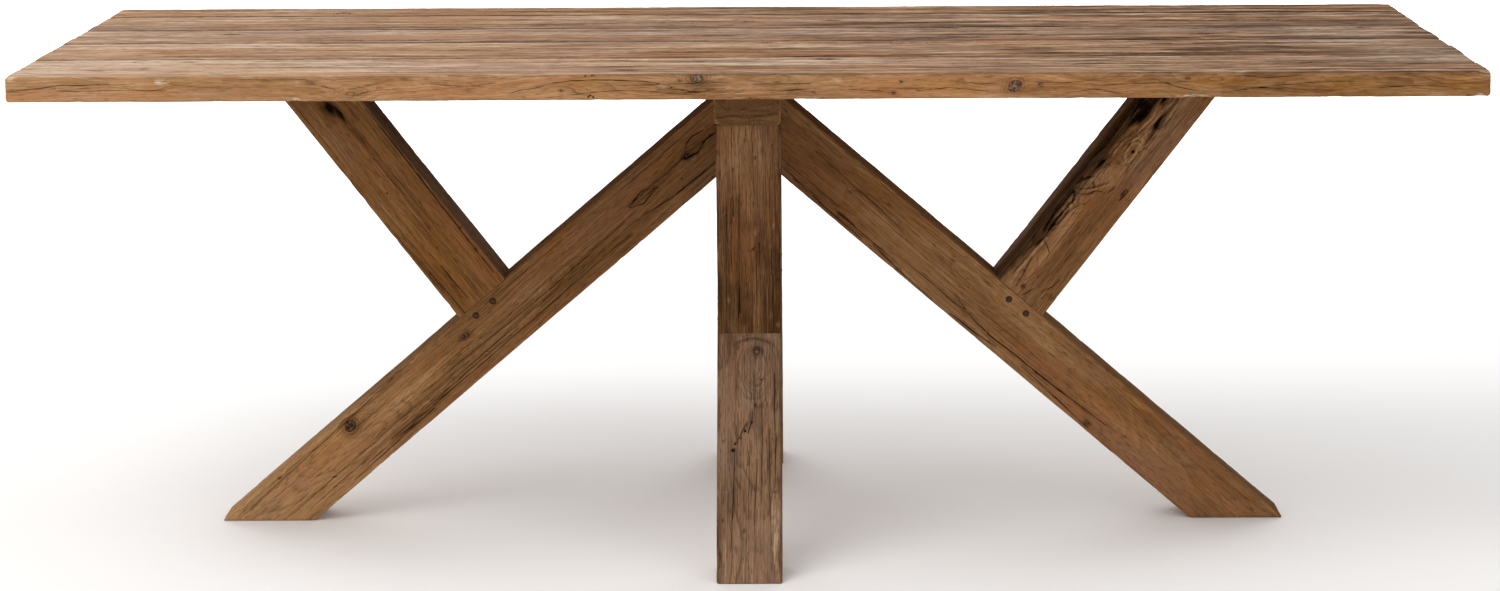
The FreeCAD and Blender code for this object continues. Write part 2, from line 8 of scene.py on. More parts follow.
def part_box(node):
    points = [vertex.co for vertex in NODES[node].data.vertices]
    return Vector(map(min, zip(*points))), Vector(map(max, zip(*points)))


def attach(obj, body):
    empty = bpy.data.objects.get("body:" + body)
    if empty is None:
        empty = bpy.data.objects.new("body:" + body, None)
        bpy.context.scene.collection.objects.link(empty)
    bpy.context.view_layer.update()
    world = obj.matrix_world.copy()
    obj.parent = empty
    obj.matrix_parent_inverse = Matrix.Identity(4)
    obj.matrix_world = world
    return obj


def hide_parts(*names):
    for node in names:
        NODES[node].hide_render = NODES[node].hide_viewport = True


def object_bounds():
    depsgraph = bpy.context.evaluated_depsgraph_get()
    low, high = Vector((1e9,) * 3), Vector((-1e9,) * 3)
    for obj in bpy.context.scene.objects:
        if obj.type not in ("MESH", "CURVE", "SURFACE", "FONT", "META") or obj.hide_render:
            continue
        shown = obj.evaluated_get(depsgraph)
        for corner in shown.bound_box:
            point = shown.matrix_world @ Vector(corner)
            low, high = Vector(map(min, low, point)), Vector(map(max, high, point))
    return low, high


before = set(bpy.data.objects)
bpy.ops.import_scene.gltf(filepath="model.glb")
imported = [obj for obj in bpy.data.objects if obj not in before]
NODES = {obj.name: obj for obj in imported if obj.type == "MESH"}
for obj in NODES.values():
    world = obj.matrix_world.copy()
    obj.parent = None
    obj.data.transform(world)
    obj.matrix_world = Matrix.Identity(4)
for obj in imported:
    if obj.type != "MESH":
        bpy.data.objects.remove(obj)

CAD_BOX = [[float(x) for x in v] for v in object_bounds()]
MM = 0.001


# ---------------------------------------------------------------- seeded noise

LATTICE = np.random.default_rng(7919).random((64, 64, 64), dtype=np.float32)


def noise(x, y=0.0, z=0.0, seed=0):
    """Smooth noise from 0 to 1."""
    x, y, z = np.broadcast_arrays(*(np.asarray(v, np.float32) for v in (x, y, z)))
    x = x + np.float32(7.31 * seed + 0.37)
    y = y + np.float32(3.77 * seed + 0.61)
    z = z + np.float32(5.17 * seed + 0.83)
    cells, parts = [], []
    for v in (x, y, z):
        low = np.floor(v)
        t = v - low
        low = low.astype(np.int32)
        cells.append((low & 63, (low + 1) & 63))
        parts.append(t * t * (3 - 2 * t))
    (x0, x1), (y0, y1), (z0, z1) = cells
    tx, ty, tz = parts
    g = LATTICE
    c00 = g[x0, y0, z0] * (1 - tx) + g[x1, y0, z0] * tx
    c10 = g[x0, y1, z0] * (1 - tx) + g[x1, y1, z0] * tx
    c01 = g[x0, y0, z1] * (1 - tx) + g[x1, y0, z1] * tx
    c11 = g[x0, y1, z1] * (1 - tx) + g[x1, y1, z1] * tx
    return (c00 * (1 - ty) + c10 * ty) * (1 - tz) + (c01 * (1 - ty) + c11 * ty) * tz


def waves(x, y=0.0, z=0.0, seed=0, octaves=2):
    """Layered noise from -1 to 1."""
    total, gain, norm = 0.0, 1.0, 0.0
    for k in range(octaves):
        f = 2.03**k
        total = total + gain * (
            2 * noise(np.asarray(x) * f, np.asarray(y) * f, np.asarray(z) * f, seed + 11 * k) - 1
        )
        norm += gain
        gain *= 0.5
    return total / norm * 1.35


def smooth(lo, hi, v):
    t = np.clip((v - lo) / (hi - lo), 0, 1)
    return t * t * (3 - 2 * t)


# ---------------------------------------------------------------- timber


def samples(h, step, fine=()):
    """Places across a face from -h to h, closer together at the arrises and in the fine ranges."""
    edge = np.array([0, 0.8, 1.8, 3.1, 4.8, 7.0])
    inner = h - 9.5
    n = max(2, int(round(2 * inner / step)) + 1)
    xs = np.concatenate([-h + edge, np.linspace(-inner, inner, n), h - edge])
    return refine(xs, fine)


def refine(xs, fine):
    for lo, hi, step in fine:
        xs = xs[(xs < lo) | (xs > hi)]
        n = max(2, int(round((hi - lo) / step)) + 1)
        xs = np.concatenate([xs, np.linspace(lo, hi, n)])
    xs = np.sort(xs)
    return xs[np.concatenate([[True], np.diff(xs) > 0.25])]


class Stick:
    """A length of timber. s runs along it, a and b across it, all in mm from o.
    start and end are lists of planes (point, normal) that cut it."""

    def __init__(self, name, o, X, A, B, ha, hb, start, end, ds, da, db, seed,
                 arris=4.0, ends=4.0, fine_s=(), fine_a=(), fine_b=(), end_wave=0.0, worn=1.0):
        self.name, self.seed = name, seed
        self.o, self.X, self.A, self.B = (np.asarray(v, float) for v in (o, X, A, B))
        self.ha, self.hb = ha, hb
        self.start, self.end, self.end_wave = start, end, end_wave
        ua, ub = samples(ha, da, fine_a), samples(hb, db, fine_b)
        na, nb = len(ua) - 1, len(ub) - 1
        # the perimeter: +A, +B, -A, -B
        loop = (
            [(na, j) for j in range(nb)]
            + [(i, nb) for i in range(na, 0, -1)]
            + [(0, j) for j in range(nb, 0, -1)]
            + [(i, 0) for i in range(na)]
        )
        side = np.array([0] * nb + [1] * na + [2] * nb + [3] * na)
        pa = np.array([ua[i] for i, j in loop])
        pb = np.array([ub[j] for i, j in loop])
        self.P = len(loop)
        corner = {}
        for k, ij in enumerate(loop):
            corner[ij] = k
        s0c, s1c = float(self.cut(start, 0.0, 0.0, max)), float(self.cut(end, 0.0, 0.0, min))
        n = max(3, int(round((s1c - s0c - 2 * ends) / ds)) + 1)
        sc = refine(np.linspace(s0c + ends, s1c - ends, n), [
            f for f in fine_s if s0c + ends < f[0] and f[1] < s1c - ends])
        t = (sc - sc[0]) / (sc[-1] - sc[0])
        bend = np.radians([0, 24, 48, 70])
        rows_s, rows_a, rows_b, rows_n, rows_c = [], [], [], [], []

        def ring(kind, phi, frac, centre):
            inset = ends * (1 - math.sin(phi))
            axial = ends * (1 - math.cos(phi))
            a, b = pa * (ha - inset) / ha, pb * (hb - inset) / hb
            s0 = self.cut(start, a, b, max)
            s1 = self.cut(end, a, b, min)
            if kind == 0:
                s = s0 + axial
            elif kind == 2:
                s = s1 - axial
            else:
                s = s0 + ends + frac * (s1 - s0 - 2 * ends)
            rows_s.append(s)
            rows_a.append(a)
            rows_b.append(b)
            sign = -1.0 if kind == 0 else 1.0
            rows_n.append((sign * math.cos(phi) if kind != 1 else 0.0, math.sin(phi) if kind != 1 else 1.0, inset))
            rows_c.append(centre)

        for phi in bend:
            ring(0, phi, 0, s0c + ends * (1 - math.cos(phi)))
        for f, c in zip(t, sc):
            ring(1, math.pi / 2, f, c)
        for phi in bend[::-1]:
            ring(2, phi, 1, s1c - ends * (1 - math.cos(phi)))
        self.R = len(rows_s)
        s, a, b = (np.array(v) for v in (rows_s, rows_a, rows_b))
        ns = np.array([r[0] for r in rows_n])[:, None] + 0 * s
        nside = np.array([r[1] for r in rows_n])[:, None]
        inset = np.array([r[2] for r in rows_n])[:, None]
        # worn arrises: the radius drifts along the length
        which = (2 * (pa > 0) + (pb > 0))[None, :] + 0 * a
        wobble = noise(s / 70, which * 9.7, 0.0, seed) * 0.75 + noise(s / 19, which * 5.3, 3.0, seed) * 0.25
        rc = arris * (1 - 0.55 * worn + 1.1 * worn * wobble)
        fa = np.array([1, 0, -1, 0])[side][None, :] + 0 * a
        fb = np.array([0, 1, 0, -1])[side][None, :] + 0 * a
        a, b, na_, nb_ = self.rounded(a, b, ha - inset, hb - inset, rc, fa, fb)
        self.S = [s.ravel()]
        self.As, self.Bs = [a.ravel()], [b.ravel()]
        self.N = [np.stack([ns.ravel(), (nside * na_).ravel(), (nside * nb_).ravel()], 1)]
        base = self.R * self.P
        # end caps
        faces = []
        r, p = np.meshgrid(np.arange(self.R - 1), np.arange(self.P), indexing="ij")
        q = (p + 1) % self.P
        quads = np.stack([r * self.P + p, r * self.P + q, (r + 1) * self.P + q, (r + 1) * self.P + p], -1).reshape(-1, 4)
        faces.append(quads)
        # UV of the side quads: the perimeter unrolled, in a few rows
        step = np.hypot(np.diff(np.append(pa, pa[0])), np.diff(np.append(pb, pb[0])))
        around = np.concatenate([[0], np.cumsum(step)])
        centre = np.array(rows_c)
        length = centre[-1] - centre[0]
        rows = max(1, int(round(math.sqrt(length / around[-1]))))
        bounds_ = centre[0] + length * np.arange(rows + 1) / rows
        row = np.clip(np.searchsorted(bounds_, 0.5 * (centre[:-1] + centre[1:])) - 1, 0, rows - 1)
        gap = 6.0
        rr, pp = r.ravel(), p.ravel()
        u_of = lambda k: centre[k] - bounds_[row[rr]] + gap
        v_of = lambda k: around[k] + row[rr] * (around[-1] + gap)
        uv = [np.stack([
            np.stack([u_of(rr), v_of(pp)], 1), np.stack([u_of(rr), v_of(pp + 1)], 1),
            np.stack([u_of(rr + 1), v_of(pp + 1)], 1), np.stack([u_of(rr + 1), v_of(pp)], 1)], 1)]
        top_v = rows * (around[-1] + gap)
        width = length / rows + 4 * gap
        cap_u = gap
        for kind in (0, 1):
            ii, jj = np.meshgrid(np.arange(1, na), np.arange(1, nb), indexing="ij")
            ca, cb = ua[ii].ravel() * (ha - ends) / ha, ub[jj].ravel() * (hb - ends) / hb
            planes, pick = (start, max) if kind == 0 else (end, min)
            ring_of = 0 if kind == 0 else (self.R - 1)
            cs = self.cut(planes, ca, cb, pick)
            crc = arris * np.ones_like(ca)
            ca, cb, _, _ = self.rounded(ca, cb, ha - ends, hb - ends, crc, 0 * ca, 0 * ca)
            self.S.append(cs + 0 * ca)
            self.As.append(ca)
            self.Bs.append(cb)
            self.N.append(np.stack([np.full_like(ca, -1.0 if kind == 0 else 1.0), 0 * ca, 0 * ca], 1))
            index = np.zeros((na + 1, nb + 1), int)
            index[1:na, 1:nb] = base + np.arange((na - 1) * (nb - 1)).reshape(na - 1, nb - 1)
            base += (na - 1) * (nb - 1)
            for (i, j), k in corner.items():
                index[i, j] = ring_of * self.P + k
            cap = np.stack([index[:-1, :-1], index[1:, :-1], index[1:, 1:], index[:-1, 1:]], -1).reshape(-1, 4)
            faces.append(cap)
            gu, gv = np.meshgrid(ua + ha, ub + hb, indexing="ij")
            if 2 * 2 * ha + 4 * gap > width:
                gu, gv = gv, gu
            flat = np.stack([gu + cap_u, gv + top_v], -1)
            uv.append(np.stack([flat[:-1, :-1], flat[1:, :-1], flat[1:, 1:], flat[:-1, 1:]], 2).reshape(-1, 4, 2))
            cap_u += gu.max() + 2 * gap
            last_v = gv.max()
        self.uv_size = (max(width, cap_u), top_v + last_v + gap)
        self.faces, self.uv = faces, uv
        self.s, self.a, self.b = np.concatenate(self.S), np.concatenate(self.As), np.concatenate(self.Bs)
        self.n = np.concatenate(self.N)
        self.cap = np.zeros(len(self.s))
        self.cap[self.R * self.P:] = 1
        self.cap[: self.P] = 1
        self.cap[(self.R - 1) * self.P: self.R * self.P] = 1
        N = len(self.s)
        self.d = np.zeros(N)
        self.move = np.zeros((N, 3))
        self.ring = np.zeros(N)
        self.knots = np.full(N, 9.0)
        self.crk = np.stack([np.full(N, 60.0), np.full(N, -9.0), np.full(N, 60.0)], 1)
        self.bright, self.grey, self.grime_and_shade, self.pale, self.warm = (np.zeros(N) for _ in range(5))
        self.flow = np.zeros((N, 2))
        self.calm = np.zeros(N)
        self.near_arris = np.clip(np.minimum(ha - np.abs(self.a), hb - np.abs(self.b)) * 0 + np.hypot(
            np.maximum(0, np.abs(self.a) - (ha - 12)) - 12, np.maximum(0, np.abs(self.b) - (hb - 12)) - 12), 0, 40)

    def cut(self, planes, a, b, pick):
        found = None
        for p, n in planes:
            n = np.asarray(n, float)
            k = n @ (np.asarray(p, float) - self.o) - (n @ self.A) * np.asarray(a) - (n @ self.B) * np.asarray(b)
            v = k / (n @ self.X)
            found = v if found is None else (np.maximum if pick is max else np.minimum)(found, v)
        if self.end_wave:
            w = self.end_wave * (0.5 + 0.5 * waves(np.asarray(a) / 21, np.asarray(b) / 30, 5.0 if pick is max else 9.0, self.seed))
            found = found + w if pick is max else found - w
        return found

    @staticmethod
    def rounded(a, b, ha, hb, rc, fa, fb):
        dx, dy = np.abs(a) - (ha - rc), np.abs(b) - (hb - rc)
        m = (dx > 0) & (dy > 0)
        d = np.maximum(np.hypot(dx, dy), 1e-9)
        k = np.where(m, np.maximum(dx, dy) / d, 1.0)
        a2 = np.where(m, np.sign(a) * (ha - rc + dx * k), a)
        b2 = np.where(m, np.sign(b) * (hb - rc + dy * k), b)
        na = np.where(m, np.sign(a) * dx / d, fa)
        nb = np.where(m, np.sign(b) * dy / d, fb)
        return a2, b2, na, nb

    def face(self, key):
        """How much each point belongs to a face, and its place across it."""
        axis = 1 if key[1] == "A" else 2
        sign = 1.0 if key[0] == "+" else -1.0
        w = smooth(0.35, 0.8, sign * self.n[:, axis])
        return w, (self.b if axis == 1 else self.a)

    def depth_from(self, key):
        if key[1] == "A":
            return self.ha - (1 if key[0] == "+" else -1) * self.a
        return self.hb - (1 if key[0] == "+" else -1) * self.b

    # -- growth rings and surface
    def grow(self, pith, drift=(0.0, 0.0), sway=5.0, amp=3.0, scale=1.0):
        s, a, b, k = self.s, self.a, self.b, self.seed
        ca = pith[0] + drift[0] * s / 1000 + sway * waves(s / 420, 1.0, 0.0, k + 1)
        cb = pith[1] + drift[1] * s / 1000 + sway * waves(s / 420, 7.0, 0.0, k + 2)
        self.ring = np.hypot(a - ca, b - cb)
        self.ring = self.ring + amp * waves(s / 240, a / 75, b / 75, k + 3)
        self.ring = self.ring + 0.5 * amp * waves(s / 80, a / 30, b / 30, k + 4)
        self.ring_scale = scale

    def skin(self, uneven=0.5, ridge=0.3, ring_mm=5.0, tone=0.1, tear=0.0):
        s, a, b, k = self.s, self.a, self.b, self.seed
        self.d += uneven * waves(s / 150, a / 26, b / 26, k + 5)
        f = np.mod(self.ring / ring_mm, 1.0)
        late = smooth(0.3, 0.85, f) * (1 - smooth(0.9, 1.0, f))
        self.d += ridge * (late - 0.4) * (1 - self.cap)
        self.d += 0.25 * uneven * waves(s / 34, a / 4.5, b / 4.5, k + 6)
        if tear:
            t = waves(s / 42, a / 5.0, b / 5.0, k + 8, 3)
            self.d -= tear * smooth(0.35, 0.95, t) * (1 - self.cap)
            self.grime_and_shade += 0.35 * smooth(0.45, 1.0, t) * (1 - self.cap)
        self.bright += tone * waves(s / 330, a / 60, b / 60, k + 7)
        # end grain: saw marks and fibre pits
        self.d += self.cap * (0.3 * waves(self.a / 2.5, self.b / 9, 0.0, k + 9) + 0.25 * waves(self.a / 5, self.b / 5, 0.0, k + 10))
        edge = smooth(9.0, 1.5, self.near_arris) * (1 - self.cap)
        self.pale += 0.22 * edge * smooth(0.1, 0.8, waves(s / 40, a / 30, b / 30, k + 12))
        self.d -= 0.8 * edge * smooth(0.25, 0.9, waves(s / 17, np.sign(a) * 3.0, np.sign(b) * 5.0, k + 13))

    def bow(self, da=0.0, db=0.0, twist=0.0):
        """A slight natural bend, in mm at mid length."""
        lo, hi = self.s.min(), self.s.max()
        t = (self.s - lo) / (hi - lo)
        self.move[:, 1] += da * np.sin(np.pi * t)
        self.move[:, 2] += db * np.sin(np.pi * t)

    # -- features
    def crack(self, key, pts, width, depth=1.5, jitter=0.9, seed=0, grime=0.4):
        w, c = self.face(key)
        pts = sorted(pts)
        ss, cc = np.array([p[0] for p in pts], float), np.array([p[1] for p in pts], float)
        lo, hi = ss[0], ss[-1]
        i = np.nonzero((w > 0.01) & (self.s > lo - 30) & (self.s < hi + 30) & (c > cc.min() - 32) & (c < cc.max() + 32))[0]
        s, c, w = self.s[i], c[i], w[i]
        k = self.seed * 3 + seed
        line = np.interp(s, ss, cc) + jitter * waves(s / 30, k * 1.3, 0.0, k) + 0.3 * jitter * waves(s / 8, k * 2.1, 0.0, k + 1)
        t = (s - lo) / (hi - lo)
        out = np.maximum(0, np.maximum(lo - s, s - hi))
        half = 0.5 * width * np.sqrt(np.clip(np.sin(np.pi * np.clip(t, 0, 1)), 0, 1)) * (0.35 + 1.25 * noise(s / 16, k * 0.7, 0.0, k))
        half = half - 0.4 * np.minimum(out, 20)
        off = c - line
        near = np.abs(off) + out + (1 - w) * 60
        pick = near < self.crk[i, 2]
        self.crk[i[pick]] = np.stack([off, half, near], 1)[pick]
        self.d[i] -= w * depth * np.clip(1 - np.abs(off) / np.maximum(half + 1.1, 0.1), 0, 1) * (half > 0)
        self.grime_and_shade[i] += grime * w * smooth(5.0, 0.0, near) * (half > 0) * noise(s / 40, c / 9, 0.0, k + 2)

    def cracks(self, key, count, length, width, depth=1.2, seed=0, lo=None, hi=None, slope=0.01):
        rng = np.random.default_rng(self.seed * 101 + seed)
        lo = self.s.min() if lo is None else lo
        hi = self.s.max() if hi is None else hi
        h = (self.hb if key[1] == "A" else self.ha) - 4
        for k in range(count):
            L = rng.uniform(*length)
            s0 = rng.uniform(lo - 0.2 * L, hi - 0.7 * L)
            c0 = rng.uniform(-h, h)
            c1 = np.clip(c0 + rng.normal(0, slope) * L, -h, h)
            self.crack(key, [(s0, c0), (s0 + L, c1)], rng.uniform(*width), depth, 0.8, seed * 17 + k, 0.3)

    def knot(self, key, s, c, r, bump=1.6, ecc=1.4, rise=0.0):
        w, cc = self.face(key)
        ds, dc = (self.s - s) / (ecc * r), (cc - c) / r
        q = np.hypot(ds, dc)
        q = q * (1 + 0.12 * waves(np.cos(np.arctan2(dc, ds)) * 1.7, np.sin(np.arctan2(dc, ds)) * 1.7, s / 7.0, self.seed))
        inside = np.exp(-(self.depth_from(key) / 22.0) ** 2)
        self.ring = self.ring + bump * r * np.exp(-((q / 1.5) ** 2)) * inside
        self.knots = np.minimum(self.knots, q + 9 * (1 - w))
        self.flow[:, 1 if key[1] == "A" else 0] -= 0.6 * (cc - c) * np.exp(-((q / 1.8) ** 2)) * inside
        self.d += rise * w * np.exp(-((q / 0.9) ** 2))

    def whorl(self, key, s, c, rs, rc, bump):
        """A place where the grain swells around a hidden branch."""
        w, cc = self.face(key)
        q2 = ((self.s - s) / rs) ** 2 + ((cc - c) / rc) ** 2
        self.ring = self.ring + bump * np.exp(-q2) * np.exp(-(self.depth_from(key) / 22.0) ** 2)

    def hole(self, key, s, c, r, depth):
        w, cc = self.face(key)
        q = np.hypot(self.s - s, cc - c)
        m = w * smooth(r * 1.25, r * 0.65, q)
        self.d -= depth * m
        # the dark inside of the hole is painted shade
        self.grime_and_shade = np.maximum(self.grime_and_shade, 1.3 * m)

    def seat(self, key, s, c, r=4.0):
        """The dark joint line around a peg, slightly sunk."""
        w, cc = self.face(key)
        q = np.hypot(self.s - s, cc - c)
        m = w * np.exp(-(((q - r - 0.3) / 1.0) ** 2))
        self.grime_and_shade = np.maximum(self.grime_and_shade, 1.2 * m)
        self.d -= 0.8 * m + 0.5 * w * smooth(r + 0.4, r - 0.6, q)

    def dent(self, key, s, c, ls, lc, depth, seed=0, grime_and_shade=0.0, rough=0.4, power=2.0):
        w, cc = self.face(key)
        q = (np.abs(self.s - s) / ls) ** power + (np.abs(cc - c) / lc) ** power
        m = w * np.exp(-q) * np.clip(1 + rough * waves(self.s / 13, cc / 8, 0.0, self.seed + seed + 20), 0, 2)
        self.d -= depth * m
        self.grime_and_shade += grime_and_shade * m

    def chip(self, ca, cb, s, length, size, pale=0.8):
        """A bit broken off an arris; ca and cb are the signs of its corner."""
        e = np.hypot(self.ha - ca * self.a, self.hb - cb * self.b)
        m = np.exp(-((np.abs(self.s - s) / length) ** 2.6)) * np.exp(-((e / (1.3 * size)) ** 2))
        m = m * (0.75 + 0.5 * noise(self.s / 3.5, self.a / 3.5, self.b / 3.5, self.seed + 31))
        self.move[:, 1] -= ca * 0.7 * size * m
        self.move[:, 2] -= cb * 0.7 * size * m
        self.pale += pale * smooth(0.15, 0.6, m)

    def lip(self, key, pts, width, height, pale, seed=0):
        """The pale raised edge of a broken layer, with a dark step on its inner side."""
        w, c = self.face(key)
        pts = sorted(pts)
        ss, cc = [p_[0] for p_ in pts], [p_[1] for p_ in pts]
        off = c - np.interp(self.s, ss, cc) - 1.3 * waves(self.s / 15, seed * 1.7, 0.0, self.seed + seed)
        m = w * smooth(ss[0] - 5, ss[0] + 4, self.s) * smooth(ss[-1] + 5, ss[-1] - 4, self.s)
        self.d += m * height * (np.exp(-((off / width) ** 2)) - 0.8 * np.exp(-(((off - 2.4 * width) / (1.5 * width)) ** 2)))
        self.pale += pale * m * np.exp(-((off / (0.9 * width)) ** 2))
        self.grime_and_shade += 0.55 * m * np.exp(-(((off - 1.9 * width) / (0.8 * width)) ** 2))

    def patch(self, key, s, c, ls, lc, amount, what="grime_and_shade", power=2.0, breakup=0.5, seed=0):
        w, cc = self.face(key)
        q = (np.abs(self.s - s) / ls) ** power + (np.abs(cc - c) / lc) ** power
        m = w * np.exp(-q) * np.clip(1 - breakup + 2 * breakup * noise(self.s / (0.4 * ls + 6), cc / (0.3 * lc + 2), 0.0, self.seed + seed + 40), 0, 1.4)
        setattr(self, what, getattr(self, what) + amount * m)

    def stains(self, key, count, seed=0, size=(14, 60), amount=0.14):
        """Soft lighter and darker places, and faint pale scuffs across the grain."""
        rng = np.random.default_rng(self.seed * 77 + seed)
        h = self.hb if key[1] == "A" else self.ha
        lo, hi = self.s.min(), self.s.max()
        for k in range(count):
            ls = rng.uniform(*size)
            s0, c0 = rng.uniform(lo, hi), rng.uniform(-h, h)
            sign = rng.choice([-1.0, -1.0, 1.0])
            self.patch(key, s0, c0, ls, 0.22 * ls + 3, sign * amount * rng.uniform(0.4, 1.0), "bright", seed=k)
            self.patch(key, rng.uniform(lo, hi), rng.uniform(-h, h), 1.3 * ls, 0.3 * ls + 4, rng.uniform(-0.08, 0.06), "warm", seed=k + 50)
        for k in range(count // 2):
            s0, c0 = rng.uniform(lo, hi), rng.uniform(-h, h)
            self.patch(key, s0, c0, rng.uniform(2.0, 6.0), rng.uniform(1.5, 4.0), rng.uniform(0.2, 0.5), "pale", seed=k + 90)
            self.patch(key, rng.uniform(lo, hi), rng.uniform(-h, h), rng.uniform(1.5, 4), rng.uniform(1.0, 2.2), 0.9, "grime_and_shade", seed=k + 70)

    # -- finish
    def make(self, material, shift=0.0, floor=False):
        s = self.s + self.move[:, 0] + self.d * self.n[:, 0]
        a = self.a + self.move[:, 1] + self.d * self.n[:, 1]
        b = self.b + self.move[:, 2] + self.d * self.n[:, 2]
        V = self.o + s[:, None] * self.X + a[:, None] * self.A + b[:, None] * self.B
        V = np.clip(V, 1000 * np.array(CAD_BOX[0]) + 0.05, 1000 * np.array(CAD_BOX[1]) - 0.05)
        if floor:
            V[:, 2] = np.maximum(V[:, 2], 0.05)
        fixed = []
        for F in self.faces:
            mid = F[len(F) // 2]
            nrm = np.cross(V[mid[1]] - V[mid[0]], V[mid[2]] - V[mid[0]])
            n = self.n[mid].mean(0)
            out = n[0] * self.X + n[1] * self.A + n[2] * self.B
            fixed.append(nrm @ out >= 0)
        F = np.concatenate([f if ok else f[:, ::-1] for f, ok in zip(self.faces, fixed)])
        uv = np.concatenate([u if ok else u[:, ::-1] for u, ok in zip(self.uv, fixed)])
        uv = uv / np.array(self.uv_size)
        drift = [4.0 * waves(self.s / 330, 3.0 + 5.0 * k, 0.0, self.seed + 51) for k in (0, 1)]
        jog = np.array([self.seed * 0.731 + shift, (self.seed * 0.377) % 3.1, (self.seed * 0.519) % 2.3])
        data = {
            "gpos": np.stack([s, a + self.flow[:, 0] + drift[0], b + self.flow[:, 1] + drift[1]], 1) * MM + jog,
            "ring": self.ring * MM,
            "knot": self.knots,
            "calm": self.calm,
            "crk": self.crk,
            "tone": np.stack([self.bright, self.grey, np.clip(self.grime_and_shade, 0, 1.2)], 1),
            "finish": np.stack([np.clip(self.pale, 0, 1), self.warm, self.cap], 1),
        }
        return mesh_piece(self.name, V * MM, F, material, data, uv)


def mesh_piece(name, V, F, material, data=None, uv=None):
    me = bpy.data.meshes.new(name)
    F = np.asarray(F)
    me.vertices.add(len(V))
    me.vertices.foreach_set("co", np.asarray(V, np.float32).ravel())
    me.loops.add(F.size)
    me.loops.foreach_set("vertex_index", F.ravel().astype(np.int32))
    me.polygons.add(len(F))
    me.polygons.foreach_set("loop_start", np.arange(0, F.size, F.shape[1], dtype=np.int32))
    me.update(calc_edges=True)
    me.polygons.foreach_set("use_smooth", np.ones(len(F), bool))
    for key, val in (data or {}).items():
        val = np.asarray(val, np.float32)
        if val.ndim == 1:
            me.attributes.new(key, "FLOAT", "POINT").data.foreach_set("value", val)
        else:
            me.attributes.new(key, "FLOAT_VECTOR", "POINT").data.foreach_set("vector", val.ravel())
    if uv is not None:
        layer = me.uv_layers.new(name="OFBake")
        layer.uv.foreach_set("vector", np.asarray(uv, np.float32).ravel())
    me.materials.append(material)
    me.update()
    ob = bpy.data.objects.new(name, me)
    bpy.context.scene.collection.objects.link(ob)
    return ob


def place(ob, node):
    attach(ob, "root")
    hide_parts(node)
    return ob


# ---------------------------------------------------------------- materials


def lin(r, g, b):
    """A colour given as 0-255 display values, as linear light."""
    def one(v):
        v /= 255.0
        return v / 12.92 if v <= 0.04045 else ((v + 0.055) / 1.055) ** 2.4
    return (one(r), one(g), one(b), 1.0)


class Graph:
    def __init__(self, name):
        self.mat = bpy.data.materials.new(name)
        self.mat.use_nodes = True
        self.t = self.mat.node_tree
        self.t.nodes.clear()

    def put(self, socket, value):
        if isinstance(value, bpy.types.NodeSocket):
            self.t.links.new(value, socket)
        elif value is not None:
            socket.default_value = value

    def node(self, kind, ins=(), **props):
        n = self.t.nodes.new("ShaderNode" + kind)
        for k, v in props.items():
            setattr(n, k, v)
        for k, v in dict(ins).items():
            self.put(n.inputs[k], v)
        return n

    def attr(self, name, out="Fac"):
        return self.node("Attribute", attribute_name=name, attribute_type="GEOMETRY").outputs[out]

    def math(self, op, a, b=None, c=None, clamp=False):
        n = self.node("Math", operation=op, use_clamp=clamp)
        for k, v in enumerate((a, b, c)):
            if v is not None:
                self.put(n.inputs[k], v)
        return n.outputs[0]

    def vec(self, op, a, b=None, scale=None, out=0):
        n = self.node("VectorMath", operation=op)
        self.put(n.inputs[0], a[:3] if isinstance(a, tuple) else a)
        if b is not None:
            self.put(n.inputs[1], b)
        if scale is not None:
            self.put(n.inputs["Scale"], scale)
        return n.outputs[out]

    def split(self, v):
        n = self.node("SeparateXYZ", {0: v})
        return n.outputs[0], n.outputs[1], n.outputs[2]

    def noise(self, v, detail=2.0, rough=0.5, warp=0.0):
        return self.node("TexNoise", {"Vector": v, "Scale": 1.0, "Detail": detail, "Roughness": rough, "Distortion": warp}).outputs["Fac"]

    def ramp(self, v, lo, hi, to0=0.0, to1=1.0):
        n = self.node("MapRange", {"Value": v, "From Min": lo, "From Max": hi, "To Min": to0, "To Max": to1}, interpolation_type="SMOOTHSTEP")
        return n.outputs["Result"]

    def mix(self, f, a, b, blend="MIX"):
        n = self.node("Mix", data_type="RGBA", blend_type=blend)
        n.clamp_factor = True
        self.put(n.inputs[0], f)
        self.put(n.inputs[6], a)
        self.put(n.inputs[7], b)
        return n.outputs[2]

    def done(self, colour, rough, height, bump, distance=0.001, spec=0.35, metal=None):
        b = self.node("Bump", {"Strength": bump, "Distance": distance, "Height": height})
        p = self.node("BsdfPrincipled", {"Base Color": colour, "Roughness": rough, "Normal": b.outputs[0]})
        p.inputs["Specular IOR Level"].default_value = spec
        if metal is not None:
            p.inputs["Metallic"].default_value = metal
        o = self.node("OutputMaterial")
        self.t.links.new(p.outputs[0], o.inputs[0])
        return self.mat


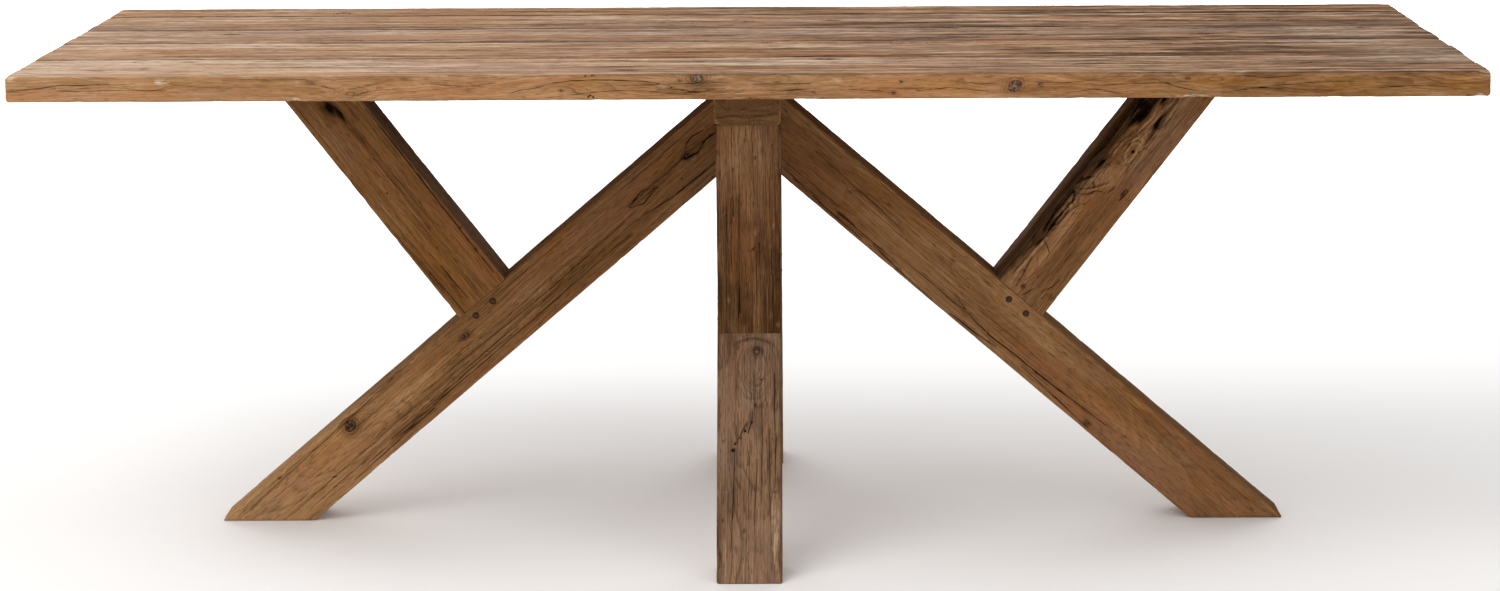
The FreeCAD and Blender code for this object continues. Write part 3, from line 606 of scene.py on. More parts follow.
def timber(name, stops, dark, deep, red, olive, grey, pale, ring_mm=5.0, ring_gain=0.4, weights=(0.34, 0.33, 0.33), contrast=0.2,
           broad=(2.5, 18), middle=(8.0, 200), fine=(20.0, 620), year_tone=0.06, hair=((9.0, 150), (18.0, 300)), lines=0.5,
           dashes=0.4, pores=0.45, weather=0.0, wobble=1.0, crisp=0.55, stretch=1.0, olive_gain=0.3, quiet_gain=0.0,
           red_gain=0.3, rough=(0.5, 0.78), bump=0.55, spec=0.3):
    g = Graph(name)
    P, R = g.attr("gpos", "Vector"), g.attr("ring")
    tone, silver_and_sheen_m, grime_and_shade = g.split(g.attr("tone", "Vector"))
    pale_m, warm, cap = g.split(g.attr("finish", "Vector"))
    off, half, near = g.split(g.attr("crk", "Vector"))
    kn, lively = g.attr("knot"), g.math("SUBTRACT", 1.0, g.attr("calm"))

    def grain(along, across, detail=2, rough_=0.5, shift=0.0):
        v = g.vec("MULTIPLY", P, (along, across, across))
        if shift:
            v = g.vec("ADD", v, (shift, 1.7 * shift, 0.6 * shift))
        return g.noise(v, detail, rough_)

    n1, n2, n3 = grain(*broad, 3, 0.55), grain(*middle, 3, 0.6), grain(*fine, 4, 0.7)
    # growth rings: each year has its own tone and its own share of dark late wood
    year = g.math("MULTIPLY", R, 1000.0 / ring_mm)
    year = g.math("MULTIPLY_ADD", grain(6, 44, 2, 0.5, 12.0), 2.0 * wobble, year)
    year = g.math("MULTIPLY_ADD", grain(2.4, 15, 2, 0.5, 1.0), 4.5 * wobble, year)
    year = g.math("MULTIPLY_ADD", n3, 0.35, year)
    part = g.math("FRACT", year)
    draw = g.node("TexWhiteNoise", {"W": g.math("FLOOR", year)}, noise_dimensions="1D")
    rand, rand2 = draw.outputs["Value"], g.split(draw.outputs["Color"])[1]
    soft = g.math("MULTIPLY", g.ramp(part, 0.15, 0.95), g.ramp(part, 1.0, 0.93))
    thin = g.math("MULTIPLY", g.ramp(part, 0.62, 0.9), g.ramp(part, 1.0, 0.93))
    late = g.math("MULTIPLY_ADD", thin, crisp, g.math("MULTIPLY", soft, 1.0 - crisp))
    late = g.math("MULTIPLY", late, g.math("MULTIPLY_ADD", rand, 0.75, 0.25))
    late = g.math("MULTIPLY", late, g.ramp(grain(5.0, 26, 2, 0.5, 21.0), 0.36, 0.62, 0.35, 1.0))
    v = g.math("MULTIPLY", g.math("SUBTRACT", n1, 0.5), weights[0])
    v = g.math("MULTIPLY_ADD", g.math("SUBTRACT", n2, 0.5), weights[1], v)
    v = g.math("MULTIPLY_ADD", v, g.math("MULTIPLY", lively, g.math("MULTIPLY_ADD", cap, -0.65, 1.0)), 0.5)
    quiet = g.math("SUBTRACT", 1.0, g.math("MINIMUM", lively, 1.0))
    v = g.math("MULTIPLY_ADD", g.math("SUBTRACT", n3, 0.5), g.math("MULTIPLY_ADD", quiet, -0.6 * weights[2], weights[2]), v)
    v = g.math("MULTIPLY_ADD", g.math("SUBTRACT", rand2, 0.5), year_tone, v)
    v = g.math("ADD", v, g.math("MULTIPLY", tone, 0.5))
    v = g.node("MapRange", {"Value": v, "From Min": 0.5 - contrast, "From Max": 0.5 + contrast}, clamp=True).outputs["Result"]
    cr = g.node("ValToRGB", {"Fac": v})
    for k, colour in enumerate(stops):
        at = k / (len(stops) - 1)
        e = cr.color_ramp.elements[0] if k == 0 else cr.color_ramp.elements[-1] if k == len(stops) - 1 else cr.color_ramp.elements.new(at)
        e.position, e.color = at, colour
    shown = g.math("MULTIPLY_ADD", cap, 0.4, g.math("MULTIPLY_ADD", quiet, quiet_gain, ring_gain))
    shown = g.math("MULTIPLY", late, shown, clamp=True)
    col = g.mix(shown, cr.outputs["Color"], dark)
    hues = g.ramp(grain(3.0, 16, 3, 0.6, 4.0), 0.45, 0.66)
    col = g.mix(g.math("MULTIPLY", hues, red_gain), col, red)
    sallow = g.ramp(grain(4.2, 26, 3, 0.6, 13.0), 0.5, 0.68)
    col = g.mix(g.math("MULTIPLY", sallow, olive_gain), col, olive)
    # the sheltered faces keep more colour than the weathered ones
    col = g.node("HueSaturation", {"Saturation": g.math("ADD", warm, 1.0), "Color": col}).outputs["Color"]
    # silvered wood, and a painted grey sheen on some upper and inner faces
    wm = g.ramp(grain(6.0, 40, 3, 0.6, 9.0), 0.36, 0.66, 0.4, 1.0)
    wm = g.math("MULTIPLY", wm, g.math("ADD", silver_and_sheen_m, weather), clamp=True)
    lum = g.node("RGBToBW", {"Color": col}).outputs[0]
    silver = g.vec("SCALE", grey, scale=g.math("MULTIPLY_ADD", lum, 2.5, 0.28))
    col = g.mix(wm, col, silver)
    # hair lines, short checks and pores along the grain
    k = stretch
    thread = g.math("ABSOLUTE", g.math("SUBTRACT", grain(*hair[0], 2, 0.5, 2.0), 0.5))
    thread = g.math("MULTIPLY", g.ramp(thread, 0.035, 0.006), g.ramp(grain(14 * k, 60, 2, 0.5, 6.0), 0.44, 0.6))
    other = g.math("ABSOLUTE", g.math("SUBTRACT", grain(*hair[1], 2, 0.5, 7.0), 0.5))
    thread = g.math("MAXIMUM", thread, g.math("MULTIPLY", g.ramp(other, 0.03, 0.004), g.ramp(grain(20 * k, 90, 2, 0.5, 11.0), 0.45, 0.62)))
    plain = g.math("MINIMUM", lively, 0.85)
    thread = g.math("MULTIPLY", thread, g.math("MULTIPLY", plain, plain))
    check = g.math("MULTIPLY", g.ramp(grain(24 * k, 420, 1, 0.5, 15.0), 0.62, 0.70), plain)
    fleck = g.ramp(grain(30 * k, 520, 1, 0.5, 19.0), 0.60, 0.70)
    pit = g.ramp(grain(60, 900, 1, 0.5, 3.0), 0.56, 0.68)
    col = g.mix(g.math("MULTIPLY", thread, lines), col, deep)
    col = g.mix(g.math("MULTIPLY", check, dashes), col, deep)
    col = g.mix(g.math("MULTIPLY", fleck, 0.35 * dashes), col, pale)
    col = g.mix(g.math("MULTIPLY", pit, pores), col, deep)
    # knots
    ang = g.noise(g.vec("MULTIPLY", P, (160, 160, 160)), 2, 0.6)
    kq = g.math("MULTIPLY_ADD", ang, 0.6, g.math("SUBTRACT", kn, 0.3))
    col = g.mix(g.math("MULTIPLY", g.ramp(kq, 2.3, 0.9), 0.45), col, dark)
    years = g.math("FRACT", g.math("MULTIPLY", kq, 1.75))
    years = g.math("MULTIPLY", g.ramp(years, 0.45, 0.8), g.ramp(years, 1.0, 0.9))
    col = g.mix(g.math("MULTIPLY", g.math("MULTIPLY", years, g.ramp(kq, 3.2, 1.4)), 0.26), col, deep)
    mott = g.noise(g.vec("MULTIPLY", P, (330, 330, 330)), 3, 0.65)
    core = g.mix(g.ramp(mott, 0.36, 0.6), g.mix(0.45, dark, grey), deep)
    col = g.mix(g.math("MULTIPLY", g.ramp(kq, 1.06, 0.84), 0.85), col, core)
    rim = g.math("MULTIPLY", g.ramp(kq, 0.66, 0.92), g.ramp(kq, 1.16, 0.98))
    rim = g.math("MULTIPLY", rim, g.ramp(g.noise(g.vec("MULTIPLY", P, (85, 85, 85)), 2, 0.6), 0.36, 0.6, 0.18, 0.68))
    col = g.mix(rim, col, deep)
    # pale worn arrises and broken fibres
    torn = g.ramp(grain(70, 420, 2, 0.6, 5.0), 0.38, 0.6)
    col = g.mix(g.math("MULTIPLY", pale_m, torn, clamp=True), col, pale)
    # end grain is darker and flecked
    speck = grain(300, 900, 2, 0.6, 8.0)
    endcol = g.mix(g.ramp(speck, 0.42, 0.66), dark, deep)
    col = g.mix(g.math("MULTIPLY", cap, 0.32), col, endcol)
    # grime and painted shade, then open cracks, their dark inside painted shade
    gr = g.math("MULTIPLY", grime_and_shade, g.math("MULTIPLY_ADD", n2, 0.9, 0.45), clamp=True)
    col = g.mix(gr, col, tuple(0.45 * c for c in deep[:3]) + (1.0,))
    rag = g.math("MULTIPLY_ADD", g.math("SUBTRACT", n3, 0.5), 1.6, g.math("ABSOLUTE", off))
    split_m = g.ramp(g.math("SUBTRACT", rag, half), 0.35, -0.2)
    split_m = g.math("MULTIPLY", split_m, g.ramp(near, 6.0, 4.0))
    col = g.mix(g.math("MULTIPLY", split_m, 0.9), col, tuple(0.3 * c for c in deep[:3]) + (1.0,))

    rgh = g.math("MULTIPLY_ADD", late, -0.08, g.ramp(n2, 0.3, 0.7, rough[1], rough[0]))
    rgh = g.math("MULTIPLY_ADD", split_m, 0.15, rgh, clamp=True)
    h = g.math("MULTIPLY_ADD", n2, 0.5, g.math("MULTIPLY", late, 0.3))
    h = g.math("MULTIPLY_ADD", n3, 0.6, h)
    h = g.math("MULTIPLY_ADD", thread, -0.4, h)
    h = g.math("MULTIPLY_ADD", check, -0.5, h)
    h = g.math("MULTIPLY_ADD", pit, -0.3, h)
    h = g.math("MULTIPLY_ADD", split_m, -1.6, h)
    return g.done(col, rgh, h, bump, 0.0009, spec)


TOP = timber("top_wood", [lin(84, 58, 38), lin(142, 105, 75), lin(176, 138, 105), lin(210, 180, 150)], lin(100, 68, 44), lin(44, 29, 20),
             lin(184, 132, 98), lin(158, 124, 84), lin(172, 148, 128), lin(218, 196, 170), ring_mm=3.6, ring_gain=0.45,
             weights=(0.55, 0.45, 0.2), contrast=0.17, broad=(5.0, 40), middle=(13.0, 110), fine=(50.0, 300), year_tone=0.05,
             hair=((8.0, 80), (16.0, 180)), lines=0.6, dashes=0.35, pores=0.35, weather=0.0, wobble=0.8, crisp=0.7, red_gain=0.4,
             rough=(0.66, 0.9), spec=0.0, quiet_gain=0.75)
BASE = timber("base_wood", [lin(82, 55, 32), lin(121, 85, 51), lin(144, 103, 66), lin(178, 137, 94)], lin(64, 41, 22), lin(36, 23, 14),
              lin(150, 98, 63), lin(120, 90, 53), lin(150, 130, 112), lin(194, 154, 108), ring_mm=2.7, ring_gain=0.65,
              weights=(0.3, 0.5, 0.4), contrast=0.2, broad=(2.5, 24), middle=(2.4, 290), fine=(10.0, 640), year_tone=0.06,
              hair=((2.6, 140), (5.0, 300)), lines=0.6, dashes=0.4, pores=0.5, wobble=0.45, crisp=0.75, stretch=0.35, olive_gain=0.12,
              red_gain=0.42, rough=(0.55, 0.8), spec=0.0, quiet_gain=-0.6)
BEAR = timber("bearer_wood", [lin(82, 56, 34), lin(118, 84, 53), lin(140, 102, 66), lin(168, 129, 89)], lin(68, 45, 25), lin(40, 26, 16),
              lin(138, 94, 61), lin(114, 86, 53), lin(140, 122, 106), lin(184, 152, 118), ring_mm=2.8, ring_gain=0.65,
              weights=(0.3, 0.5, 0.4), contrast=0.2, broad=(2.5, 24), middle=(2.4, 290), fine=(10.0, 640), year_tone=0.06,
              hair=((2.6, 140), (5.0, 300)), lines=0.6, dashes=0.4, pores=0.5, wobble=0.55, crisp=0.7, stretch=0.35,
              red_gain=0.25, rough=(0.55, 0.8), spec=0.0)
PEG = timber("peg_wood", [lin(54, 35, 21), lin(82, 54, 33), lin(102, 68, 41), lin(128, 88, 56)], lin(62, 40, 24), lin(34, 22, 14),
             lin(108, 68, 40), lin(90, 64, 38), lin(120, 104, 90), lin(150, 116, 84), ring_mm=1.6, ring_gain=0.6, contrast=0.22,
             lines=0.3, pores=0.4, rough=(0.5, 0.72))


def inner_wood(name, light, dark):
    """For the timber that stays inside the joints: grain by place, in the object's own space."""
    g = Graph(name)
    P = g.node("TexCoord").outputs["Object"]
    f = g.noise(g.vec("MULTIPLY", P, (30, 320, 320)), 3, 0.6)
    w = g.noise(g.vec("MULTIPLY", P, (4, 40, 40)), 2, 0.5)
    col = g.mix(g.ramp(f, 0.35, 0.65), dark, light)
    col = g.mix(g.math("MULTIPLY", g.ramp(w, 0.45, 0.7), 0.5), col, dark)
    return g.done(col, g.ramp(f, 0.3, 0.7, 0.75, 0.55), f, 0.4, 0.0006, 0.3)


def steel(name):
    g = Graph(name)
    P = g.node("TexCoord").outputs["Object"]
    f = g.noise(g.vec("MULTIPLY", P, (900, 900, 900)), 3, 0.6)
    rust = g.ramp(g.noise(g.vec("MULTIPLY", P, (230, 230, 230)), 3, 0.6), 0.5, 0.66)
    col = g.mix(g.ramp(f, 0.3, 0.7), lin(120, 116, 110), lin(156, 152, 146))
    col = g.mix(g.math("MULTIPLY", rust, 0.6), col, lin(96, 66, 46))
    rgh = g.math("MULTIPLY_ADD", rust, 0.35, g.ramp(f, 0.3, 0.7, 0.32, 0.46))
    return g.done(col, rgh, f, 0.25, 0.0003, 0.5, metal=0.9)


STEEL = steel("screw_steel")
INNER = inner_wood("peg_wood_inner", lin(134, 92, 58), lin(82, 54, 33))

# ---------------------------------------------------------------- the top: nine planks

UP = (0, 0, 1)


def plank(name, y0, y1, length, seed, ds=8.0, da=2.1, db=3.4, arris=2.6, ends=3.6, worn=1.0, skew=(0.0, 0.0), fine_s=(), fine_a=(), fine_b=()):
    y = 0.5 * (y0 + y1)
    h = 0.5 * length
    left = max(-h, -1099.5 + 0.0093 * (y + 466))
    return Stick(name, (0, y, 760.5), (1, 0, 0), (0, 1, 0), UP, 0.5 * (y1 - y0), 19.5,
                 [((left, y, 760.5), (1, skew[0], 0))], [((h, y, 760.5), (1, skew[1], 0))], ds, da, db, seed,
                 arris=arris, ends=ends, worn=worn, fine_s=fine_s, fine_a=fine_a, fine_b=fine_b, end_wave=0.9)


PLANKS = [
    # node, y0, y1, length, pith (a, b), drift, tone, drop of the top face
    ("plank_front_1", -500, -393, 2200, (60, -190), (10, 6), 0.03, 0.0),
    ("plank_2", -392, -279, 2196, (150, -120), (-30, 20), 0.06, 0.9),
    ("plank_3", -278, -149, 2199, (-20, -70), (40, -10), -0.05, 0.3),
    ("plank_4", -148, -49, 2195, (-170, 40), (20, 30), 0.07, 1.1),
    ("plank_middle_5", -48, 51, 2198, (15, -95), (-26, 12), -0.05, 0.4),
    ("plank_6", 52, 154, 2196, (190, 60), (34, -12), 0.02, 1.3),
    ("plank_7", 155, 234, 2197, (-120, -60), (12, 10), -0.09, 0.5),
    ("plank_8", 235, 369, 2200, (30, -60), (-44, 8), 0.03, 1.0),
    ("plank_back_9", 370, 500, 2198, (-160, -60), (16, -20), -0.03, 0.2),
]
# marks that the photo shows on the top: node, (x, y) from and to, width, depth
SPLITS = [
    ("plank_2", (-624, -366), (-534, -356), 6.0, 3.0),
    ("plank_back_9", (-465, 425), (-294, 434), 8.0, 3.0),
    ("plank_back_9", (-71, 407), (82, 434), 6.0, 2.5),
    ("plank_middle_5", (-640, -14), (-480, -20), 5.0, 2.0),
    ("plank_6", (-470, 126), (-330, 131), 4.0, 2.0),
    ("plank_3", (560, -240), (760, -232), 5.0, 2.0),
    ("plank_4", (880, -100), (1040, -104), 4.0, 2.0),
    ("plank_8", (420, 300), (640, 312), 5.0, 2.0),
]

for k, (node, y0, y1, length, pith, drift, tone, drop) in enumerate(PLANKS):
    front = node == "plank_front_1"
    rng = np.random.default_rng(500 + k)
    st = plank("vis_" + node, y0, y1, length, 21 + 2 * k, ds=5.5 if front else 8.0, da=2.1, db=1.5 if front else 3.2,
               arris=3.2 if front else 2.4, ends=5.5 if front else 3.8, worn=0.35 if front else 0.8,
               fine_s=[(-886, -846, 1.5), (-244, -220, 1.5), (-92, -56, 2.0), (210, 234, 1.8), (380, 446, 2.0)] if front else (),
               skew=(rng.uniform(-0.016, -0.004), rng.uniform(-0.008, 0.004)))
    st.grow(pith, drift, sway=9, amp=6.0 if front else 3.5)
    st.bright += 1.4 * tone
    upper = st.face("+B")[0]
    st.warm += rng.uniform(-0.07, 0.07) * upper - 0.16 * upper + 0.09 * (1 - upper)
    st.bright -= 0.04 * upper * smooth(-50, 420, 0.5 * (y0 + y1)) * smooth(300, -800, st.s)
    for side_, inner in ((1, node != "plank_back_9"), (-1, not front)):
        if inner:
            gap_ = 0.5 * (y1 - y0) - side_ * st.a
            flat_ = upper + st.face("-B")[0]
            joint = flat_ * np.exp(-((gap_ / (2.6 + 1.6 * noise(st.s / 60, side_ * 3.0, 0.0, st.seed))) ** 2))
            st.grime_and_shade += 0.8 * joint * (0.55 + 0.6 * noise(st.s / 90, side_ * 7.0, 0.0, st.seed + 1))
    st.calm -= upper * np.interp(st.s, [-1100, -200, 250, 600, 1100], [-0.25, -0.18, 0.0, 0.45, 0.7])
    # painted light falloff: the top face darker towards the right end
    st.bright -= 0.05 + upper * (-0.04 + 0.18 * st.s / 1100)
    st.grey += upper * np.interp(st.s, [0, 1100], [0.0, 0.2])
    if front:
        outer = st.face("-A")[0]
        # painted light falloff: the front face lighter at the left end, darker at the right
        st.bright += outer * np.interp(st.s, [-1100, 0, 600, 1100], [0.09, 0.04, -0.1, -0.17])
        st.calm += 0.6 * outer
    h, yc = 0.5 * (y1 - y0), 0.5 * (y1 + y0)
    # knots in the face, and splits that follow the grain
    for j in range(1 if front else 2):
        st.knot("+B", rng.uniform(-1000, 1000), rng.uniform(-0.7, 0.7) * h, rng.uniform(4, 8), bump=1.6, ecc=1.9)
    if front:
        st.knot("-A", -74, 12.4, 6.6, 1.6, 1.5)
        st.knot("-A", 228.7, 6.3, 1.7, 2.0, 1.6)
        st.knot("-A", 217.7, -10.6, 2.3, 2.0, 1.5)
        st.knot("-A", 397, -1, 8.0, 1.5, 1.25)
        st.knot("-A", 434, 0.4, 2.6, 2.0, 1.3)
        st.knot("-A", 652, 9.9, 2.0, 2.0, 1.8)
        st.whorl("-A", -586, -14, 34, 16, 24)
        st.whorl("-A", -560, -6, 90, 14, 10)
        st.whorl("-A", -412, -3, 30, 9, 12)
        for x_, z_, rs_, rc_, bump_ in ((-820, -8, 90, 12, 9), (-300, 4, 60, 14, -12), (-150, -10, 80, 12, 14), (-77, 12, 34, 14, 16), (300, -6, 60, 12, -10),
                                        (520, 8, 70, 14, 16), (600, -10, 40, 12, -12), (690, 6, 50, 13, 18), (830, -6, 80, 14, 20), (960, 8, 60, 12, -14)):
            st.whorl("-A", x_, z_, rs_, rc_, bump_)
        st.whorl("-A", 42, 6.6, 80, 12, 12)
        st.whorl("-A", 154, 6, 15, 10, 15)
        st.whorl("-A", 45, 7.2, 11, 7, 9)
        st.whorl("-A", 217, 6, 40, 9, 10)
    if node == "plank_7":
        st.knot("+B", 493, -9.5, 7.0, 1.8, 2.0)
    st.skin(uneven=0.25 if front else 0.4, ridge=0.28, ring_mm=4.5, tone=0.07, tear=0.5 if front else 0.9)
    if front:
        # a dark line along the front arris, towards the right
        e_ = np.hypot(st.ha + st.a, st.hb - st.b)
        line_ = np.exp(-(((e_ - 1.4) / 1.5) ** 2)) * smooth(-520, 60, st.s) * (1 - st.cap)
        st.grime_and_shade += 0.6 * line_ * (0.5 + 0.7 * noise(st.s / 70, 2.0, 0.0, 77))
        st.pale *= 1 - 0.85 * np.clip(line_ * 1.6, 0, 1)
    else:
        st.pale *= 0.3
    silver_ = {"plank_2": 1030, "plank_3": 1010, "plank_4": 985, "plank_middle_5": 950, "plank_6": 915}.get(node)
    if silver_ is not None:
        st.patch("+B", silver_, 0, 85, 0.5 * (y1 - y0), 0.55, "grey", 2.0, 0.7, 61)
        st.patch("+B", silver_, 0, 70, 0.4 * (y1 - y0), 0.3, "pale", 2.0, 0.8, 62)
    st.move[:, 2] -= drop * smooth(-10, 19, st.b)
    # broad weathered bands, hollowed a little
    w, c = st.face("+B")
    bands = waves(st.s / 130, c / 9, 0.0, st.seed + 70, 3)
    st.d -= 0.7 * w * smooth(0.2, 0.9, bands)
    st.bright += w * (0.08 * waves(st.s / 170, c / 16, 4.0, st.seed + 71, 3) - 0.09 * smooth(0.2, 0.8, bands))
    st.warm += 0.14 * w * waves(st.s / 210, c / 30, 8.0, st.seed + 72, 2)
    st.cracks("+B", 3 if front else 4, (90, 360), (2.5, 5.5), 2.0, seed=1, slope=0.008)
    st.cracks("+B", 5 if front else 6, (160, 620), (0.7, 1.8), 1.4, seed=2, slope=0.008)
    st.cracks("+B", 10, (30, 130), (1.2, 3.6), 1.2, seed=6, slope=0.012)
    st.cracks("-B", 5, (160, 500), (0.8, 1.8), 1.2, seed=3)
    if not front:
        st.cracks("-A", 3, (120, 400), (0.6, 1.4), 0.8, seed=4)
    st.cracks("+A", 3, (120, 400), (0.6, 1.4), 0.8, seed=5)
    for name, p, q, width, depth in SPLITS:
        if name == node:
            st.crack("+B", [(p[0], p[1] - yc), (q[0], q[1] - yc)], width, depth, 1.5, 40, 0.8)
    for side_ in (1, -1):
        for end_ in (st.s.min() + 2.0, st.s.max() - 2.0):
            if not (front and side_ < 0):
                st.chip(side_, 1, end_, rng.uniform(5, 13), rng.uniform(2.0, 6.5), 0.25)
    if front:
        st.crack("-A", [(-1099, -3.3), (-1016, 5.3), (-942, 7.9)], 0.9, 1.0)
        st.crack("-A", [(-354, -9.8), (-338, -5.4), (-312, -1.1), (-286, 5.9), (-260, 9.6), (-229, 10.8), (-199, 11), (-168, 8.8), (-137, 7.4),
                        (-120, 3.7), (-103, -3.5), (-83, -8), (-63, -7.4), (-46, -3), (-28, -2)], 1.0, 0.4, 0.4, seed=2, grime=0.2)
        st.crack("-A", [(-301, -16.5), (-273, -12.8), (-242, -9.6), (-212, -6.4), (-177, -4.9), (-146, -6.6), (-124, -8.8), (-103, -11), (-60, -13)],
                 0.5, 0.3, 0.4, seed=7, grime=0.2)
        st.crack("-A", [(28, -4.6), (46, -7.6), (68, -5.6), (98, -3.9), (111, -4.4)], 0.9, 0.4, 0.4, seed=8, grime=0.2)
        st.crack("-A", [(150, -5), (192, -7), (216, -10.5)], 0.6, 0.4, 0.4, seed=9, grime=0.2)
        st.patch("-A", -66, 4, 16, 5, 0.35, seed=11)
        st.patch("-A", 45, 7, 5, 3, 0.6, seed=12)
        st.patch("-A", 7.5, -17, 4, 2, 0.7, seed=13)
        st.patch("-A", 100, -9, 1.6, 1.6, 0.9, seed=14)
        st.crack("-A", [(-648, 8), (-612, -1), (-589, -13)], 0.4, 0.4, 0.5, seed=3, grime=0.2)
        st.crack("-A", [(-588, -14), (-562, -5), (-515, 0)], 0.4, 0.4, 0.5, seed=5, grime=0.2)
        st.crack("-A", [(-588, -2), (-540, 8)], 0.4, 0.4, 0.5, seed=6)
        st.patch("-A", -646, 8, 9, 4, 0.5)
        st.patch("-A", -412, -3, 4, 3, 0.6)
        st.patch("-A", -505, 13.5, 8, 3, 0.5)
        st.stains("-A", 16, 3, (10, 40), 0.12)
        for x_, z_, ls_, lc_, am_ in ((520, 2, 60, 10, 0.08), (700, 4, 70, 9, 0.1), (880, -2, 60, 12, 0.08), (1060, 0, 34, 14, 0.1), (300, 0, 60, 9, 0.07)):
            st.patch("-A", x_, z_, ls_, lc_, am_, "warm", seed=int(x_))
        for j_, (pts_, w_) in enumerate((([(470, -12), (520, -6), (560, -14)], 0.6), ([(610, 6), (640, -4), (668, -10)], 0.7),
                                         ([(700, -12), (760, -4), (830, 2), (900, 4)], 0.6), ([(720, 14), (770, 10), (820, 13)], 0.8),
                                         ([(930, -6), (1000, -2), (1060, -8)], 0.5), ([(300, 8), (350, 2), (380, 7)], 0.5),
                                         ([(415, 6), (470, 3), (520, 8)], 0.5), ([(-470, 6), (-420, 2), (-370, 7)], 0.5),
                                         ([(250, -8), (300, -3), (360, -9)], 0.6))):
            st.crack("-A", pts_, w_, 0.4, 0.7, seed=60 + j_, grime=0.25)
        st.cracks("-A", 9, (80, 300), (0.2, 0.5), 0.4, seed=4, slope=0.02)
        for cs_, cz_, r_ in ((-873, 11.0, 3.2), (-868, 9.0, 3.6), (-862, 11.5, 3.4), (-858, 9.5, 2.2)):
            st.dent("-A", cs_, cz_, r_, 0.8 * r_, 1.6, int(-cs_), 0.0, 0.5)
            st.patch("-A", cs_, cz_, r_ + 1, 0.9 * r_, 0.8, "pale", breakup=0.2, seed=int(-cs_))
        st.chip(-1, 1, 1092, 9, 6.0, 0.3)
        st.chip(-1, -1, -669, 8, 3.5)
        for x_, l_, z_ in ((652, 4, 3.4), (661, 5, 4.4), (671, 4, 3.2), (679, 3, 3.8)):
            st.chip(-1, -1, x_, l_, z_, 0.6)
        st.patch("-A", 658, -15, 5, 2, 0.7, seed=3)
        st.patch("-A", 674, -14, 4, 2, 0.6, seed=4)
        st.chip(-1, -1, 1084, 6, 4.0)
        st.chip(-1, 1, 729, 9, 3.0, 0.1)
        st.chip(-1, 1, -1092, 8, 5.0, 0.2)
        for x_, z_, r_ in ((-238, 16.4, 1.7), (-229, 16.6, 1.3), (-226, 18.6, 1.8), (-234.5, -14.5, 1.6), (-231, -12.6, 1.8), (-227, -15, 1.6)):
            st.hole("-A", x_, z_, r_, 2.0)
    place(st.make(TOP, shift=0.0), node)

# ---------------------------------------------------------------- the struts


def rad(d):
    return math.radians(d)


def trig(d):
    return math.cos(rad(d)), math.sin(rad(d))


FLOOR = [((0, 0, 0.0), (0, 0, 1))]
UNDER = ((0, 0, 693.0), (0, 0, 1))

cs, ss_ = trig(40.5)
legs = {}
for side, sx in (("right", 1), ("left", -1)):
    st = Stick("vis_leg_" + side, (sx * 785.55, 0, 0), (-sx * cs, 0, ss_), (sx * ss_, 0, cs), (0, 1, 0), 49, 50,
               FLOOR, [((sx * 48.5, 0, 0), (-sx, 0, 0))], 3.4, 2.7, 2.7, 51 if sx > 0 else 53, arris=3.8, ends=3.0, worn=0.8,
               fine_s=[(472, 524, 1.1)], fine_a=[(27, 42, 1.1)])
    legs[side] = st

st = legs["left"]
st.grow((18, 40), (70, -30), sway=12, amp=4)
st.knot("-B", 205.8, 31.5, 8.5, 1.6, 1.15, 0.3)
st.whorl("-B", 222, 30, 40, 18, 12)
st.whorl("-B", 330, 12, 90, 20, 16)
st.knot("-B", 444.4, 20.4, 4.5, 2.0, 1.5)
st.whorl("-B", 419.7, 4.8, 40, 16, 16)
st.whorl("-B", 620, 4, 80, 20, 20)
st.skin(0.35, 0.25, 6.0, 0.06, 0.4)
# painted light: lighter towards the foot, where light reaches in under the top
st.bright += np.interp(st.s, [0, 160, 420, 1000], [0.52, 0.38, 0.07, 0.02])
st.crack("-B", [(-11.5, 33.2), (120, 38), (347.6, 45.2)], 0.6, 0.9)
st.crack("-B", [(31.2, -16.7), (272.9, -14.4), (424.4, -14.3)], 0.4, 0.6, seed=2)
st.crack("-B", [(324.9, -4.7), (600, -12), (763, -7)], 0.6, 0.8, seed=3)
st.crack("-B", [(760, -16), (779.5, -18.5), (851.7, -27.2), (916.1, -29.3), (950, -31)], 1.5, 1.2, 0.6, 40, 0.6)
st.knot("-B", 906.4, 8.3, 4.4, 2.0, 1.3)
st.crack("-B", [(905, 9.8), (919.6, 23.5), (935.1, 26.1), (955, 22)], 1.6, 1.4, 0.5, 41, 0.6)
st.crack("-B", [(897, 12), (906, 5), (924, 1.1), (949.1, 8.8), (974, 5.5)], 2.2, 1.8, 0.5, 42, 0.7)
st.hole("-B", 957.6, 9.4, 1.9, 2.0)
st.patch("-B", 928, 13, 24, 12, 0.28, "grime_and_shade", seed=43)
st.crack("-B", [(781, 4.6), (804.5, -5.2), (838.4, 0.3)], 1.1, 0.9, 1.2, 44, 0.5)
st.crack("-B", [(784, 6), (814.7, 13.5), (841, 1.0)], 0.9, 0.8, 1.4, 45, 0.4)
st.patch("-B", 812, 4, 24, 9, -0.12, "bright", seed=46)
for k_, (s_, e_, c_) in enumerate(((180, 420, -34), (240, 520, -28), (150, 330, -40), (330, 600, -22), (420, 760, -32), (60, 210, -30))):
    st.crack("-B", [(s_, c_), (e_, c_ + 3)], 0.7, 0.8, 0.8, 30 + k_)
st.cracks("-B", 6, (60, 220), (0.3, 0.7), 0.6, seed=4)
st.stains("-B", 26, 1)
st.stains("+B", 20, 2)
st.patch("-B", 208, 31, 26, 15, -0.16, "bright")
st.patch("-B", 300, 8, 46, 12, 0.16, "bright")
st.patch("-B", 355, 14, 22, 5, 0.22, "bright")
st.patch("-B", 405, 2, 16, 6, 0.5)
st.cracks("+A", 7, (120, 420), (0.8, 2.0), 1.2, seed=5)
st.cracks("-A", 6, (120, 420), (0.8, 1.8), 1.2, seed=6)
